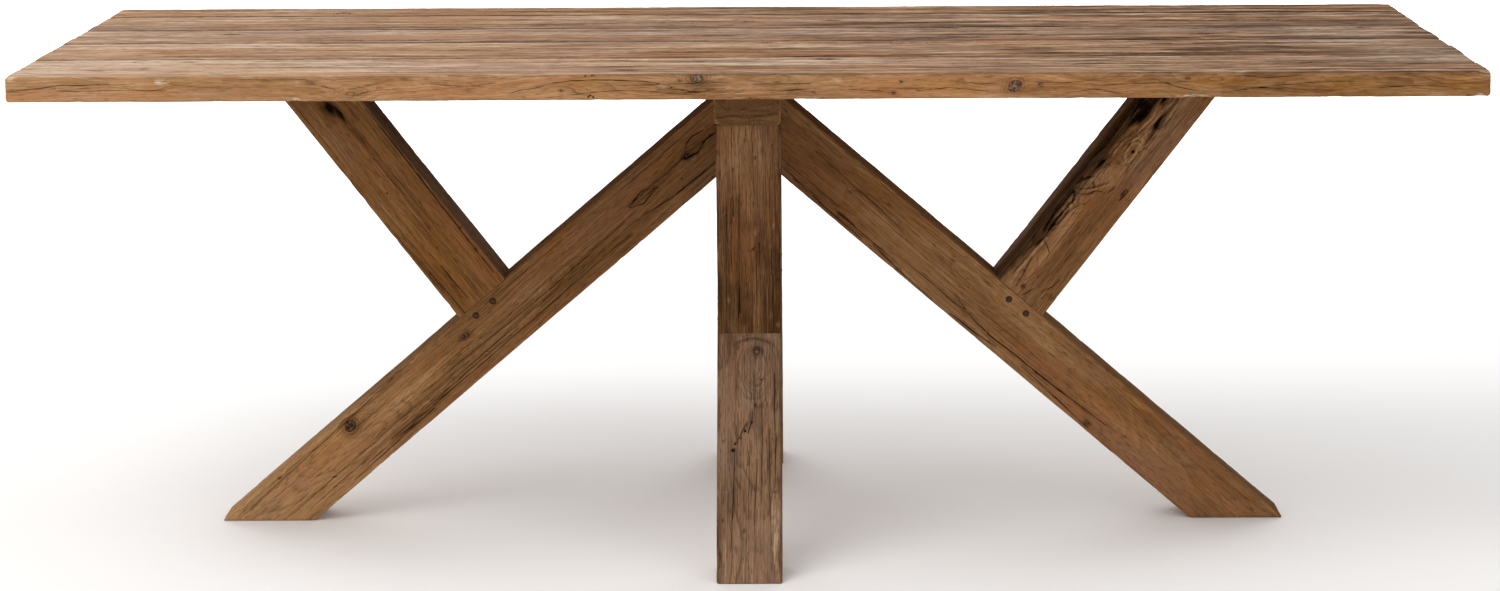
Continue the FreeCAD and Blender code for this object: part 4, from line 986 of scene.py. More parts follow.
st.cracks("+B", 8, (120, 420), (0.8, 1.8), 1.2, seed=7)
st.knot("+B", 330, -12, 9, 1.4, 1.3)
st.knot("+A", 640, 10, 8, 2.0, 1.3)
for hs, hc in ((128.3, -15.6), (118.5, -28.0), (125.0, 34.2)):
    st.hole("-B", hs, hc, 1.6, 2.5)

st = legs["right"]
st.grow((20, 70), (-50, 30), sway=12, amp=4)
st.whorl("-B", 560, 12, 70, 20, 18)
st.whorl("-B", 300, -8, 80, 20, 16)
st.skin(0.35, 0.25, 6.0, 0.06, 0.4)
st.bright += np.interp(st.s, [0, 250, 600, 1000], [0.03, 0.06, 0.15, 0.2])
st.crack("-B", [(590, -14), (573.7, -19.6), (539.6, -27.5), (502.8, -31.5), (444.7, -28.3), (378.5, -27.5), (311.1, -24.3), (240, -19.5)], 1.9, 1.8, 0.5, grime=0.5)
st.crack("-B", [(575, -44.5), (553.1, -43.5), (514.3, -42.8), (480, -38.0)], 1.5, 1.4, 0.5, seed=14)
st.knot("-B", 287.9, -38.6, 3.6, 1.4, 1.3)
st.hole("-B", 364.6, -11.1, 1.2, 1.0)
st.patch("-B", 245, 40, 34, 5, 0.22, "bright", seed=25)
st.crack("-B", [(910.6, 16.9), (714.6, 9.1)], 1.0, 1.0, seed=2)
st.crack("-B", [(930, -38), (840, -43), (760, -45)], 1.4, 1.4, seed=11)
st.crack("-B", [(740, -40), (690, -44), (610, -46)], 1.6, 1.4, seed=12)
st.crack("-B", [(430, -36), (360, -39), (280, -44)], 1.2, 1.2, seed=13)
st.patch("-B", 590, 6, 40, 12, 0.14, "bright", seed=21)
st.patch("-B", 420, 20, 60, 10, 0.10, "bright", seed=22)
st.patch("-B", 880, 10, 50, 24, -0.14, "bright", seed=23)
st.patch("-B", 330, -30, 60, 12, -0.12, "bright", seed=24)
st.cracks("-B", 6, (60, 260), (0.3, 0.8), 0.6, seed=4)
st.stains("-B", 26, 1)
st.stains("+B", 20, 2)
st.cracks("+A", 7, (120, 420), (0.8, 2.0), 1.2, seed=5)
st.cracks("-A", 6, (120, 420), (0.8, 1.8), 1.2, seed=6)
st.cracks("+B", 8, (120, 420), (0.8, 1.8), 1.2, seed=7)
st.knot("+B", 520, 8, 10, 2.0, 1.3)
for side in ("left", "right"):
    st = legs[side]
    for s_ in (480.0, 516.0):
        for key in ("-B", "+B"):
            st.seat(key, s_, 34.0)
    # grey on the upper face: partly dust, partly a painted grey sheen
    st.grey += 0.3 * st.face("+A")[0]
    st.calm += 0.45 if side == "right" else 0.35
    if side == "right":
        # painted shade on the right leg's upper face
        st.bright -= 0.22 * st.face("+A")[0]
    place(st.make(BASE, floor=True), "leg_" + side)

ca_, sa_ = trig(52.3)
arms = {}
for side, sx in (("right", 1), ("left", -1)):
    # the foot of the arm lands on the leg's upper face
    foot = ((sx * 430.0, 0, 0.8541 * (861 - 430.0) - 1.6), (sx * ss_, 0, cs))
    st = Stick("vis_arm_" + side, (sx * 685.6, 0, 693), (sx * ca_, 0, sa_), (-sx * sa_, 0, ca_), (0, 1, 0), 49, 50,
               [foot], [((0, 0, 693.6), (0, 0, 1))], 1.9 if sx > 0 else 3.0, 1.6 if sx > 0 else 2.6, 2.7,
               61 if sx > 0 else 63, arris=3.4, ends=1.5, worn=0.8)
    arms[side] = st

st = arms["left"]
st.grow((520, 60), (14, 10), sway=2, amp=0.9)
st.whorl("-B", -24, 0, 40, 12, 8)
st.skin(0.25, 0.2, 6.0, 0.05, 0.3)
st.bright += 0.04
st.warm += 0.03
st.crack("-B", [(-399.5, -17.3), (-332.1, -18.9)], 1.2, 1.2)
st.crack("-B", [(-393.4, 41.2), (-58.8, 47.0)], 1.6, 1.6, seed=2)
st.cracks("-B", 4, (80, 260), (0.3, 0.6), 0.6, seed=4)
st.cracks("+A", 6, (100, 300), (0.8, 1.8), 1.2, seed=5)
st.cracks("-A", 5, (100, 300), (0.8, 1.8), 1.2, seed=6)
st.cracks("+B", 6, (100, 300), (0.8, 1.8), 1.2, seed=7)
st.dent("-B", -22, 0, 15, 6.5, 2.5, 5, 1.6, 0.6)
st.dent("-B", -40, 8, 16, 3.2, 1.5, 6, 1.1, 0.6)
st.patch("-B", -62, 6, 40, 7, 0.4)
st.patch("-B", -20, -10, 26, 6, 0.5)
st.stains("-B", 14, 1)
st.stains("+B", 12, 2)
st.chip(-1, -1, -171, 5, 3.5, 0.0)
st.hole("-B", -186.5, -11.8, 1.6, 2.0)
# painted reflection: a cool grey sheen on the upper inner face
st.grey += 0.95 * st.face("+A")[0]
st.bright -= 0.02 * st.face("+A")[0]
st.calm += 0.25

st = arms["right"]
st.grow((-60, 120), (30, 20), sway=8, amp=6)
st.whorl("-B", -230, 4, 60, 26, 18)
st.whorl("-B", -370, 6, 50, 20, 14)
st.skin(0.35, 0.25, 6.0, 0.06, 0.4)
st.bright += 0.06
w, c = st.face("-B")
sw = st.s + 12 * waves(st.s / 34, c / 16, 0.0, 15, 3)
cw = c + 5 * waves(st.s / 26, c / 30, 0.0, 16, 3)
# rotten wood has come away in layers along the inner side, and over most of the width near the top
gone = cw - np.interp(sw, [-430, -390, -340, -322, -285, -246, -216, -190, -166, -150, -141, -120, -103, -60, 0],
                      [52, 44, 37, 30, 40, 36, 39, 30, 21, 8, -6, -12, -14, -11, -5])
m = w * smooth(-1.0, 1.8, gone)
layers = waves(sw / 60, cw / 9, 0.0, 7, 3) + 0.3 * waves(st.s / 12, c / 4, 0.0, 8, 2)
eye = np.hypot((sw + 119) / 26.0, (cw - 3.0) / 13.0)
deep_ = 0.8 + 3.0 * smooth(0, 16, gone) + 1.6 * smooth(-0.25, -0.12, layers) + 2.0 * smooth(0.22, 0.34, layers) + 1.6 * smooth(0.55, 0.66, layers)
deep_ = deep_ * smooth(0.35, 1.5, eye) + 1.2 * smooth(0.55, 0.7, eye) + 1.2 * smooth(0.9, 1.05, eye)
high = smooth(-190, -110, sw)
st.d -= m * deep_ * (0.5 + 0.5 * high)
edge_c = np.interp(sw, [-430, -374, -327, -242, -190, -167, -117, -80, -51, 0], [42, 36, 31, 32, 30, 26, 30, 22, 17, 10])
band = w * smooth(-4.0, 5.0, cw - edge_c)
st.d -= band * (1.5 + 4.0 * smooth(0, 18, cw - edge_c))
st.grime_and_shade += band * (0.78 + 0.35 * waves(st.s / 40, c / 4, 0.0, 9, 2)) + 0.2 * m * smooth(0.15, 0.6, layers)
spine = np.exp(-(((cw - 1.0 - 5 * waves(st.s / 40, 0.0, 0.0, 17)) / 2.4) ** 2)) * smooth(-112, -96, sw)
spine = spine + np.exp(-(((cw - 11.0 - 4 * waves(st.s / 36, 2.0, 0.0, 18)) / 1.8) ** 2)) * smooth(-104, -86, sw)
ridge = w * (np.exp(-((gone / 2.2) ** 2)) * 0.9 + m * (spine + 0.6 * np.exp(-(((layers - 0.28) / 0.07) ** 2))
             + np.exp(-(((eye - 0.62) / 0.11) ** 2)) + np.exp(-(((eye - 0.98) / 0.11) ** 2)))) * (1 - 0.8 * np.clip(band, 0, 1))
st.pale += 0.85 * ridge
st.d += 1.2 * ridge * m
st.bright += 0.12 * w * np.exp(-((np.minimum(gone, 0) / 18.0) ** 2)) * (gone < 0)
st.warm += 0.02 * w * smooth(0, -26, c) - 0.02
wA, _ = st.face("+A")
eat = np.interp(st.s, [-470, -400, -330, -250, -180, -100, -40, 0], [0, 2, 5, 4, 8, 13, 11, 7]) * (0.8 + 0.35 * waves(st.s / 46, st.b / 30, 0.0, 8, 3))
fade = smooth(60, -20, st.b)
st.d -= wA * np.maximum(0, eat) * fade
st.grime_and_shade += wA * (0.45 + 0.4 * fade) * (0.75 + 0.35 * waves(st.s / 50, st.b / 5, 0.0, 12, 2)) * np.interp(st.s, [-470, -200, -110], [0.75, 0.85, 1.2])
# grey on the upper inner face: partly dust, partly a painted grey sheen
st.grey += wA * np.interp(st.s, [-470, -190, -100], [0.5, 0.4, 0.1])
st.hole("-B", -119.2, 1.1, 2.4, 6.0)
for s_, c_, ls_, lc_, k_ in ((-63.0, 23.5, 15, 5.0, 1), (-61.0, -2.5, 17, 3.4, 2), (-50.0, 35.0, 7, 4.0, 3), (-20.0, 12.0, 14, 3.0, 4)):
    st.dent("-B", s_, c_, ls_, lc_, 4, k_, 0.95, 0.6, 2.6)
st.calm += 0.25
for k_, (pts_, wd_, ht_, pl_) in enumerate((([(-392, 27), (-378, 29), (-340, 27), (-299, 24), (-266, 28), (-234, 26)], 1.7, 1.2, 1.0),
                                            ([(-217, 27), (-206, 14), (-194, 5), (-182, -2)], 2.2, 1.0, 0.6),
                                            ([(-214, 37), (-200, 31), (-188, 21)], 2.2, 1.2, 0.7),
                                            ([(-150, 20), (-135, 23), (-112, 20), (-92, 16)], 1.8, 1.4, 0.9),
                                            ([(-142, 2), (-128, 10), (-104, 11), (-80, 6)], 1.6, 1.2, 0.7),
                                            ([(-100, -10), (-70, -9), (-36, -6)], 1.6, 1.2, 0.6),
                                            ([(-290, 24), (-262, 20), (-240, 14), (-228, 22)], 1.8, 0.9, 0.5))):
    st.lip("-B", pts_, wd_, ht_, pl_, 5 + k_)
for j_, (pts_, w_) in enumerate((([(-195.2, -30.5), (-171.6, -32.2)], 1.8), ([(-188, -27), (-172, -28)], 1.2), ([(-405, 14), (-350, 24)], 1.0),
                                 ([(-60, -14), (-20, -12)], 1.2))):
    st.crack("-B", pts_, w_, 1.2, 1.2, 9 + j_)
# lower down: thin broken layers, a split across the grain, paler and darker places
for j_, (pts_, w_) in enumerate((([(-311.9, 25.4), (-277.3, 22.1), (-254.1, 24.3), (-246, 34)], 1.3), ([(-307.4, 34.8), (-281.5, 39.1), (-246.8, 43.2)], 1.0),
                                 ([(-302, 30), (-262, 31)], 0.9), ([(-329.2, 6.0), (-322.2, 15.9), (-316, 28)], 2.6),
                                 ([(-226.5, 30), (-217.7, 16.6), (-204.8, 9.3), (-199, -2)], 1.9), ([(-202.5, 14), (-194, 22)], 2.2),
                                 ([(-196, -8), (-179, -12)], 1.2), ([(-246, 18.3), (-242.5, 26.2), (-225, 36.5)], 1.4),
                                 ([(-410, -2.2), (-390, -9.8)], 1.4), ([(-389, -21.6), (-371, -31.1), (-352, -34.9)], 1.0))):
    st.crack("-B", pts_, w_, 0.9, 0.4, 60 + j_, 0.45)
st.knot("-B", -397.3, 5.1, 2.6, 1.4, 1.2)
st.hole("-B", -393.6, -30.5, 1.3, 1.0)
st.hole("-B", -233.2, 11.1, 1.3, 1.0)
for k_, (s_, c_, ls_, lc_, am_, what_) in enumerate(((-282, 30, 30, 7, 0.22, "grime_and_shade"), (-287, 9, 26, 8, 0.16, "bright"), (-331, 1, 24, 9, 0.14, "bright"),
                                                     (-299, -8, 40, 9, -0.12, "bright"), (-341, -14, 34, 9, -0.1, "bright"),
                                                     (-396, 39, 12, 2.4, 0.8, "pale"), (-407, 25, 7, 3.0, 0.7, "pale"))):
    st.patch("-B", s_, c_, ls_, lc_, am_, what_, 2.0, 0.4, 71 + k_)
# painted highlight: a lighter silver-grey sheen along the far part of the upper inner face
far_side_sheen = wA * smooth(-5, 35, st.b)
st.grey += 0.5 * far_side_sheen
st.bright += 0.3 * far_side_sheen
st.grime_and_shade -= 0.28 * far_side_sheen
st.cracks("-B", 4, (60, 200), (0.3, 0.6), 0.6, seed=4)
st.stains("-B", 14, 1)
st.stains("+B", 12, 2)
st.cracks("-A", 5, (100, 300), (0.8, 1.8), 1.2, seed=6)
st.cracks("+B", 6, (100, 300), (0.8, 1.8), 1.2, seed=7)
st.patch("-B", -170, 1, 20, 12, 0.36, "bright", 2.6, 0.25)
st.patch("-B", -275, 17, 34, 9, 0.26, "bright", 2.4, 0.3, 2)
st.patch("-B", -345, 12, 30, 12, 0.16, "bright", 2.4, 0.3, 3)
st.patch("-B", -160, -40, 40, 7, 0.22, "bright", 2.0, 0.3, 4)
st.patch("-B", -250, -16, 60, 14, -0.12, "bright", 2.0, 0.4, 5)
st.patch("-B", -310, -22, 40, 12, -0.1, "bright", 2.0, 0.4, 6)
for side in ("left", "right"):
    place(arms[side].make(BASE), "arm_" + side)

cf, sf = trig(57.0)
for side, sy in (("front", -1), ("back", 1)):
    st = Stick("vis_leg_" + side, (0, sy * 424.6, 0), (0, -sy * cf, sf), (0, sy * sf, cf), (1, 0, 0), 49, 50,
               FLOOR, [((0, 0, 0), (0, -sy, 0)), UNDER], 3.2, 2.7, 2.7, 71 if sy < 0 else 73, arris=4.6, ends=2.0,
               fine_s=[(180, 236, 2.0), (296, 380, 1.5)], fine_b=[(-30, 36, 1.5)])
    st.grow((-150, 20) if sy < 0 else (-90, 40), (20, 16), sway=8, amp=3)
    if sy < 0:
        st.knot("+A", 350.0, 12.0, 4.4, 1.6, 1.3)
        st.whorl("+A", 326, 11, 40, 20, 30)
        w_, c_ = st.face("+A")
        q_ = np.hypot((st.s - 347) / np.where(st.s > 347, 13.0, 46.0), (c_ - 12.0) / 13.0)
        st.grime_and_shade += w_ * 0.5 * np.exp(-(((q_ - 0.62) / 0.25) ** 2)) * smooth(338, 356, st.s)
        for r_, k_ in ((0.95, 0.28), (1.2, 0.34), (1.42, 0.26), (1.66, 0.34), (1.95, 0.24)):
            st.grime_and_shade += w_ * k_ * np.exp(-(((q_ - r_) / 0.055) ** 2)) * smooth(350, 334, st.s) * (0.5 + noise(st.s / 20, c_ / 14, r_ * 9.0, 5))
        arch_ = 371.0 - 11.0 * ((c_ - 6.0) / 30.0) ** 2
        st.grime_and_shade += w_ * 0.6 * np.exp(-(((st.s - arch_) / 3.2) ** 2)) * smooth(36, 22, np.abs(c_ - 6.0))
    else:
        st.knot("+A", 210, -10, 9.0, 2.2, 1.5)
        st.knot("+A", 540, 14, 6.0, 2.2, 1.4)
    st.skin(0.45, 0.28, 6.0, 0.08, 0.5)
    st.bright += 0.0
    st.warm -= 0.15
    if sy < 0:
        for hs, hc, r in ((216.8, -6.8, 2.3), (185.5, -25.3, 3.2), (226.7, -3.8, 1.9), (205.0, -13.0, 1.5), (233.0, 5.0, 1.5), (196.0, -22.0, 1.6)):
            st.hole("+A", hs, hc, r, 2.5)
        st.crack("+A", [(159.2, -0.6), (185.4, -0.6)], 1.0, 1.0)
        st.crack("+A", [(20, -28), (190, -22)], 1.0, 1.0, seed=2)
        st.crack("+A", [(196, -20), (232, -4)], 1.2, 1.2, 1.0, seed=3)
        st.crack("+A", [(212, -2), (246, 6)], 1.2, 1.2, 1.0, seed=5)
        st.crack("+A", [(30, 34), (230, 30)], 0.9, 1.0, seed=6)
        st.crack("+A", [(60, 8), (170, 12)], 0.8, 1.0, seed=7)
        st.patch("+A", 115, -40, 1.2, 9, 0.8, "pale")
        st.patch("+A", 113, 41, 1.2, 7, 0.7, "pale")
        st.dent("+A", 115, 40, 2.0, 9, 1.5, 8, 0.5)
        st.chip(1, 1, 120, 16, 5.0, 0.1)
        st.chip(1, -1, 8, 12, 6.0, 0.1)
        st.chip(1, 1, 14, 16, 5.0, 0.1)
    st.stains("+A", 30, 1, amount=0.18)
    st.stains("-A", 16, 2)
    st.cracks("+A", 9, (50, 220), (0.5, 1.3), 1.0, seed=4)
    st.cracks("-A", 6, (120, 420), (0.8, 1.8), 1.2, seed=5)
    st.cracks("+B", 7, (120, 420), (0.8, 1.8), 1.2, seed=6)
    st.cracks("-B", 7, (120, 420), (0.8, 1.8), 1.2, seed=7)
    # grey on the upper face: partly dust, partly a painted grey sheen
    st.grey += 0.2 * st.face("+A")[0]
    # painted shade along the rounded arrises
    st.grime_and_shade += 0.6 * smooth(7.0, 1.0, st.near_arris) * (1 - st.cap) * smooth(0.3, 0.75, noise(st.s / 50, np.sign(st.a) * 2.0, np.sign(st.b) * 3.0, 6))
    place(st.make(BASE, floor=True), "leg_" + side)

cb_, sb_ = trig(64.5)
for side, sy in (("front", -1), ("back", 1)):
    yl = 228.0
    foot = ((0, sy * yl, 1.5399 * (483 - yl) - 1.8), (0, sy * sf, cf))
    st = Stick("vis_arm_" + side, (0, sy * 370.7, 693), (0, sy * cb_, sb_), (0, -sy * sb_, cb_), (1, 0, 0), 49, 50,
               [foot], [((0, 0, 693.6), (0, 0, 1))], 3.0, 2.6, 2.6, 81 if sy < 0 else 83, arris=3.6, ends=1.5)
    st.grow((130, -30) if sy < 0 else (90, 50), (20, 12), sway=6, amp=3)
    st.skin(0.3, 0.24, 6.0, 0.06, 0.4)
    # painted shade: darker under the tabletop
    st.bright += -0.21
    st.warm -= 0.03
    st.d -= 2.4 * (st.face("+B")[0] + st.face("-B")[0])
    if sy < 0:
        st.crack("-A", [(-208, 2), (-204, 5.3), (-198, 9)], 1.2, 1.0)
        st.patch("-A", -157.7, -0.4, 14, 8, 0.5)
        st.patch("-A", -336.4, -6.7, 12, 6, 0.4)
    st.stains("-A", 24, 1, amount=0.16)
    st.stains("+A", 12, 2)
    st.cracks("-A", 12, (50, 220), (0.4, 1.0), 0.9, seed=4)
    st.cracks("+A", 6, (100, 300), (0.8, 1.8), 1.2, seed=5)
    st.cracks("+B", 6, (100, 300), (0.8, 1.8), 1.2, seed=6)
    st.cracks("-B", 6, (100, 300), (0.8, 1.8), 1.2, seed=7)
    # dark arrises: painted shade along the rounded edges, partly wear
    st.grime_and_shade += 0.9 * smooth(8.0, 1.0, st.near_arris) * (1 - st.cap) * smooth(0.25, 0.75, noise(st.s / 40, np.sign(st.a) * 2.0, np.sign(st.b) * 3.0, 4))
    place(st.make(BASE), "arm_" + side)

# ---------------------------------------------------------------- bearers and battens


def bore(ob, places, z0, depth, r):
    """Cuts round counterbores up into the underside."""
    V, F = [], []
    n = 28
    for x, y in places:
        b = len(V)
        for z in (z0 - 4.0, z0 + depth):
            V += [(x + r * math.cos(2 * math.pi * k / n), y + r * math.sin(2 * math.pi * k / n), z) for k in range(n)]
        F.append([b + k for k in range(n)][::-1])
        F.append([b + n + k for k in range(n)])
        F += [[b + k, b + (k + 1) % n, b + n + (k + 1) % n, b + n + k] for k in range(n)]
    me = bpy.data.meshes.new("cutter")
    me.from_pydata([tuple(c * MM for c in v) for v in V], [], F)
    co = np.array(V) * MM
    # the darker tone given to the cutter is painted shade inside the bores
    flat = {"gpos": co, "crk": np.tile([60.0, -9.0, 60.0], (len(V), 1)), "tone": np.tile([-0.3, 0.0, 0.35], (len(V), 1)), "finish": np.tile([0.0, 0.0, 0.6], (len(V), 1))}
    for key, val in flat.items():
        me.attributes.new(key, "FLOAT_VECTOR", "POINT").data.foreach_set("vector", val.astype(np.float32).ravel())
    me.attributes.new("ring", "FLOAT", "POINT").data.foreach_set("value", (co[:, 2]).astype(np.float32))
    me.attributes.new("knot", "FLOAT", "POINT").data.foreach_set("value", np.full(len(V), 9.0, np.float32))
    cutter = bpy.data.objects.new("cutter", me)
    bpy.context.scene.collection.objects.link(cutter)
    mod = ob.modifiers.new("bores", "BOOLEAN")
    mod.operation = "DIFFERENCE"
    mod.solver = "EXACT"
    mod.object = cutter
    dg = bpy.context.evaluated_depsgraph_get()
    new = bpy.data.meshes.new_from_object(ob.evaluated_get(dg))
    old = ob.data
    ob.modifiers.clear()
    ob.data = new
    new.name = old.name
    if "OFBake" in new.uv_layers:
        new.uv_layers.remove(new.uv_layers["OFBake"])
    bpy.data.meshes.remove(old)
    bpy.data.objects.remove(cutter)
    bpy.data.meshes.remove(me)


def joined(first, others):
    """One piece from several stretches of the same timber."""
    bpy.ops.object.select_all(action="DESELECT")
    for o in others:
        o.select_set(True)
    first.select_set(True)
    bpy.context.view_layer.objects.active = first
    bpy.ops.object.join()
    return first


st = Stick("vis_cross_bearer", (0, 0, 717), (0, 1, 0), (1, 0, 0), UP, 50, 24,
           [((0, -440, 717), (0, 1, 0.02))], [((0, 440, 717), (0, 1, 0))], 5.0, 3.0, 3.0, 91, arris=3.2, ends=2.5)
st.grow((14, 52), (10, -6), sway=5, amp=3)
st.skin(0.7, 0.3, 5.5, 0.08, 0.5)
st.cracks("-B", 7, (100, 300), (0.8, 1.8), 1.2, seed=4)
st.cracks("+A", 4, (100, 300), (0.8, 1.6), 1.0, seed=5)
st.cracks("-A", 4, (100, 300), (0.8, 1.6), 1.0, seed=6)
st.chip(-1, -1, -438, 14, 7.0, 0.2)
st.chip(1, -1, -438, 10, 4.0, 0.1)
st.move[:, 2] += 3.2 * noise(st.a / 13, 0.0, 0.0, 5) * smooth(-424, -438, st.s) * smooth(-12, -23, st.b)
# painted shadow line along the lower edge of the block's end
st.grime_and_shade += 0.5 * smooth(-424, -438, st.s) * smooth(-19, -24, st.b)
st.bright += 0.06
end_ = (st.s < -430) * st.cap
for k_, (b_, slope_, w_, am_) in enumerate(((9, 0.06, 1.1, 0.7), (1, -0.05, 0.9, 0.6), (-8, 0.04, 1.3, 0.75), (15, -0.03, 0.8, 0.5), (-15, 0.02, 0.8, 0.5))):
    line_ = b_ + slope_ * st.a + 2.2 * waves(st.a / 24, k_ * 3.1, 0.0, 31)
    cut_ = end_ * np.exp(-(((st.b - line_) / w_) ** 2)) * smooth(0.3, 0.6, noise(st.a / 26, k_ * 2.3, 0.0, 33))
    st.grime_and_shade += am_ * cut_
    st.d -= 0.8 * cut_
st.bright += 0.16 * end_ * waves(st.a / 40, st.b / 9, 0.0, 35, 3)
ob = st.make(BEAR)
bore(ob, [(0, y) for y in (-417, -300, -204, -100, 100, 204, 300, 417)], 693, 10, 5.5)
place(ob, "cross_bearer")

halves = []
for sx in (1, -1):
    st = Stick("vis_long_bearer" if sx > 0 else "vis_long_bearer_b", (0, 0, 717), (sx, 0, 0), (0, sx, 0), UP, 50, 24,
               [((sx * 49.0, 0, 717), (sx, 0, 0))], [((sx * 980, 0, 717), (sx, 0, 0))], 5.5, 3.0, 3.0, 93, arris=3.2, ends=2.5)
    st.grow((-24, 64), (16, -6), sway=5, amp=3)
    st.skin(0.7, 0.3, 5.5, 0.08, 0.5)
    st.cracks("-B", 6, (100, 300), (0.8, 1.8), 1.2, seed=4 + sx)
    st.cracks("+A", 4, (100, 300), (0.8, 1.6), 1.0, seed=7 + sx)
    st.cracks("-A", 4, (100, 300), (0.8, 1.6), 1.0, seed=10 + sx)
    ob = st.make(BEAR, shift=0.4 * sx)
    bore(ob, [(sx * x, 0) for x in (300, 550, 820)], 693, 10, 5.5)
    halves.append(ob)
place(joined(halves[0], halves[1:]), "long_bearer")

for side, sx in (("right", 1), ("left", -1)):
    st = Stick("vis_batten_" + side, (sx * 900, 0, 731), (0, 1, 0), (1, 0, 0), UP, 45, 10,
               [((0, -435, 731), (0, 1, 0))], [((0, 435, 731), (0, 1, 0))], 6.0, 3.2, 2.6, 95 if sx > 0 else 97, arris=2.2, ends=1.6)
    st.grow((20, 44), (8, 4), sway=4, amp=3)
    st.skin(0.45, 0.25, 5.5, 0.08, 0.3)
    st.cracks("-B", 6, (100, 300), (0.7, 1.5), 0.8, seed=4)
    # the ends taper away on the underside
    rise = np.maximum(0, np.abs(st.s) - 330) / 105 * 13.0
    st.move[:, 2] += rise * (10 - st.b) / 20
    ob = st.make(BEAR)
    bore(ob, [(sx * 900, y) for y in (-300, -204, -100, 100, 204, 300)], 721, 6, 5.5)
    place(ob, "batten_" + side)

# ---------------------------------------------------------------- pegs and screws


def pegs(node, rods, dull=0.0):
    """Whittled pegs with domed ends; rods are (middle, direction, length)."""
    V, F, G, T, cap = [], [], [], [], []
    base = 0
    for k, (mid, axis, length) in enumerate(rods):
        axis = np.asarray(axis, float)
        side = np.cross(axis, (0.3, 0.5, 0.8))
        side /= np.linalg.norm(side)
        up = np.cross(axis, side)
        n = 20
        ang = 2 * np.pi * np.arange(n) / n
        rr = 4.0 * (1 - 0.04 * np.abs(np.sin(3.5 * ang + k)))
        prof = [(-0.5 * length - 0.5, 0.35), (-0.5 * length - 0.35, 0.7), (-0.5 * length + 0.1, 0.93), (-0.5 * length + 1.4, 1.0)]
        mids = [(t, 1.0) for t in np.linspace(-0.5 * length + 8, 0.5 * length - 8, 8)]
        rows = prof + mids + [(-t, q) for t, q in prof[::-1]]
        for t, q in rows:
            co = np.asarray(mid) + axis * t + (side[None] * (np.cos(ang) * rr * q)[:, None] + up[None] * (np.sin(ang) * rr * q)[:, None])
            V += list(co)
            G += list(np.stack([np.full(n, t), np.cos(ang) * rr * q, np.sin(ang) * rr * q], 1))
            T += list(rr * q)
            cap += [1.0 if q < 0.95 else 0.0] * n
        for t, in_row in ((rows[0][0] - 0.1, 0), (rows[-1][0] + 0.1, len(rows) - 1)):
            V.append(np.asarray(mid) + axis * t)
            G.append(np.array([t, 0.0, 0.0]))
            T.append(0.0)
            cap.append(1.0)
        for r in range(len(rows) - 1):
            for p in range(n):
                q2 = (p + 1) % n
                F.append([base + r * n + p, base + r * n + q2, base + (r + 1) * n + q2, base + (r + 1) * n + p])
        c0 = base + len(rows) * n
        last = base + (len(rows) - 1) * n
        for p in range(0, n, 2):
            F.append([c0, base + (p + 2) % n, base + p + 1, base + p])
            F.append([c0 + 1, last + p, last + p + 1, last + (p + 2) % n])
        base = len(V)
    V, F, G = np.array(V), np.array(F), np.array(G)
    tri = V[F]
    vol = np.einsum("ij,ij->i", tri[:, 0], np.cross(tri[:, 1], tri[:, 2])).sum() + np.einsum("ij,ij->i", tri[:, 0], np.cross(tri[:, 2], tri[:, 3])).sum()
    if vol < 0:
        F = F[:, ::-1]
    N = len(V)
    cap = np.array(cap)
    data = {
        "gpos": G * MM + np.array([0.3, 0.7, 0.2]) * (len(node) % 7),
        "ring": np.array(T) * MM, "knot": np.full(N, 9.0),
        "crk": np.tile([60.0, -9.0, 60.0], (N, 1)),
        "tone": np.stack([np.full(N, -0.1 - dull), np.zeros(N), 0.25 * cap], 1),
        "finish": np.stack([np.zeros(N), np.zeros(N), 0.8 * cap], 1),
    }
    ob = mesh_piece("vis_" + node, V * MM, F, PEG, data)
    return place(ob, node)


SIDE_PEGS = [(415.3, 360.9), (442.7, 337.5)]
pegs("pegs_right", [((x, 0, z), (0, 1, 0), 100) for x, z in SIDE_PEGS])
pegs("pegs_left", [((-x, 0, z), (0, 1, 0), 100) for x, z in SIDE_PEGS])
for side, sy in (("front", -1), ("back", 1)):
    lo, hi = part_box("pegs_" + side)
    y0, y1 = sorted((abs(lo.y), abs(hi.y)))
    rods = [((0, sy * (y0 * 1000 + 4), hi.z * 1000 - 4), (1, 0, 0), 100), ((0, sy * (y1 * 1000 - 4), lo.z * 1000 + 4), (1, 0, 0), 100)]
    pegs("pegs_" + side, rods)
pegs("bearer_pegs_long", [((sx * 685.6, 0, 709), (0, 1, 0), 100) for sx in (1, -1)])
pegs("bearer_pegs_cross", [((0, sy * 370.7, 709), (1, 0, 0), 100) for sy in (1, -1)])


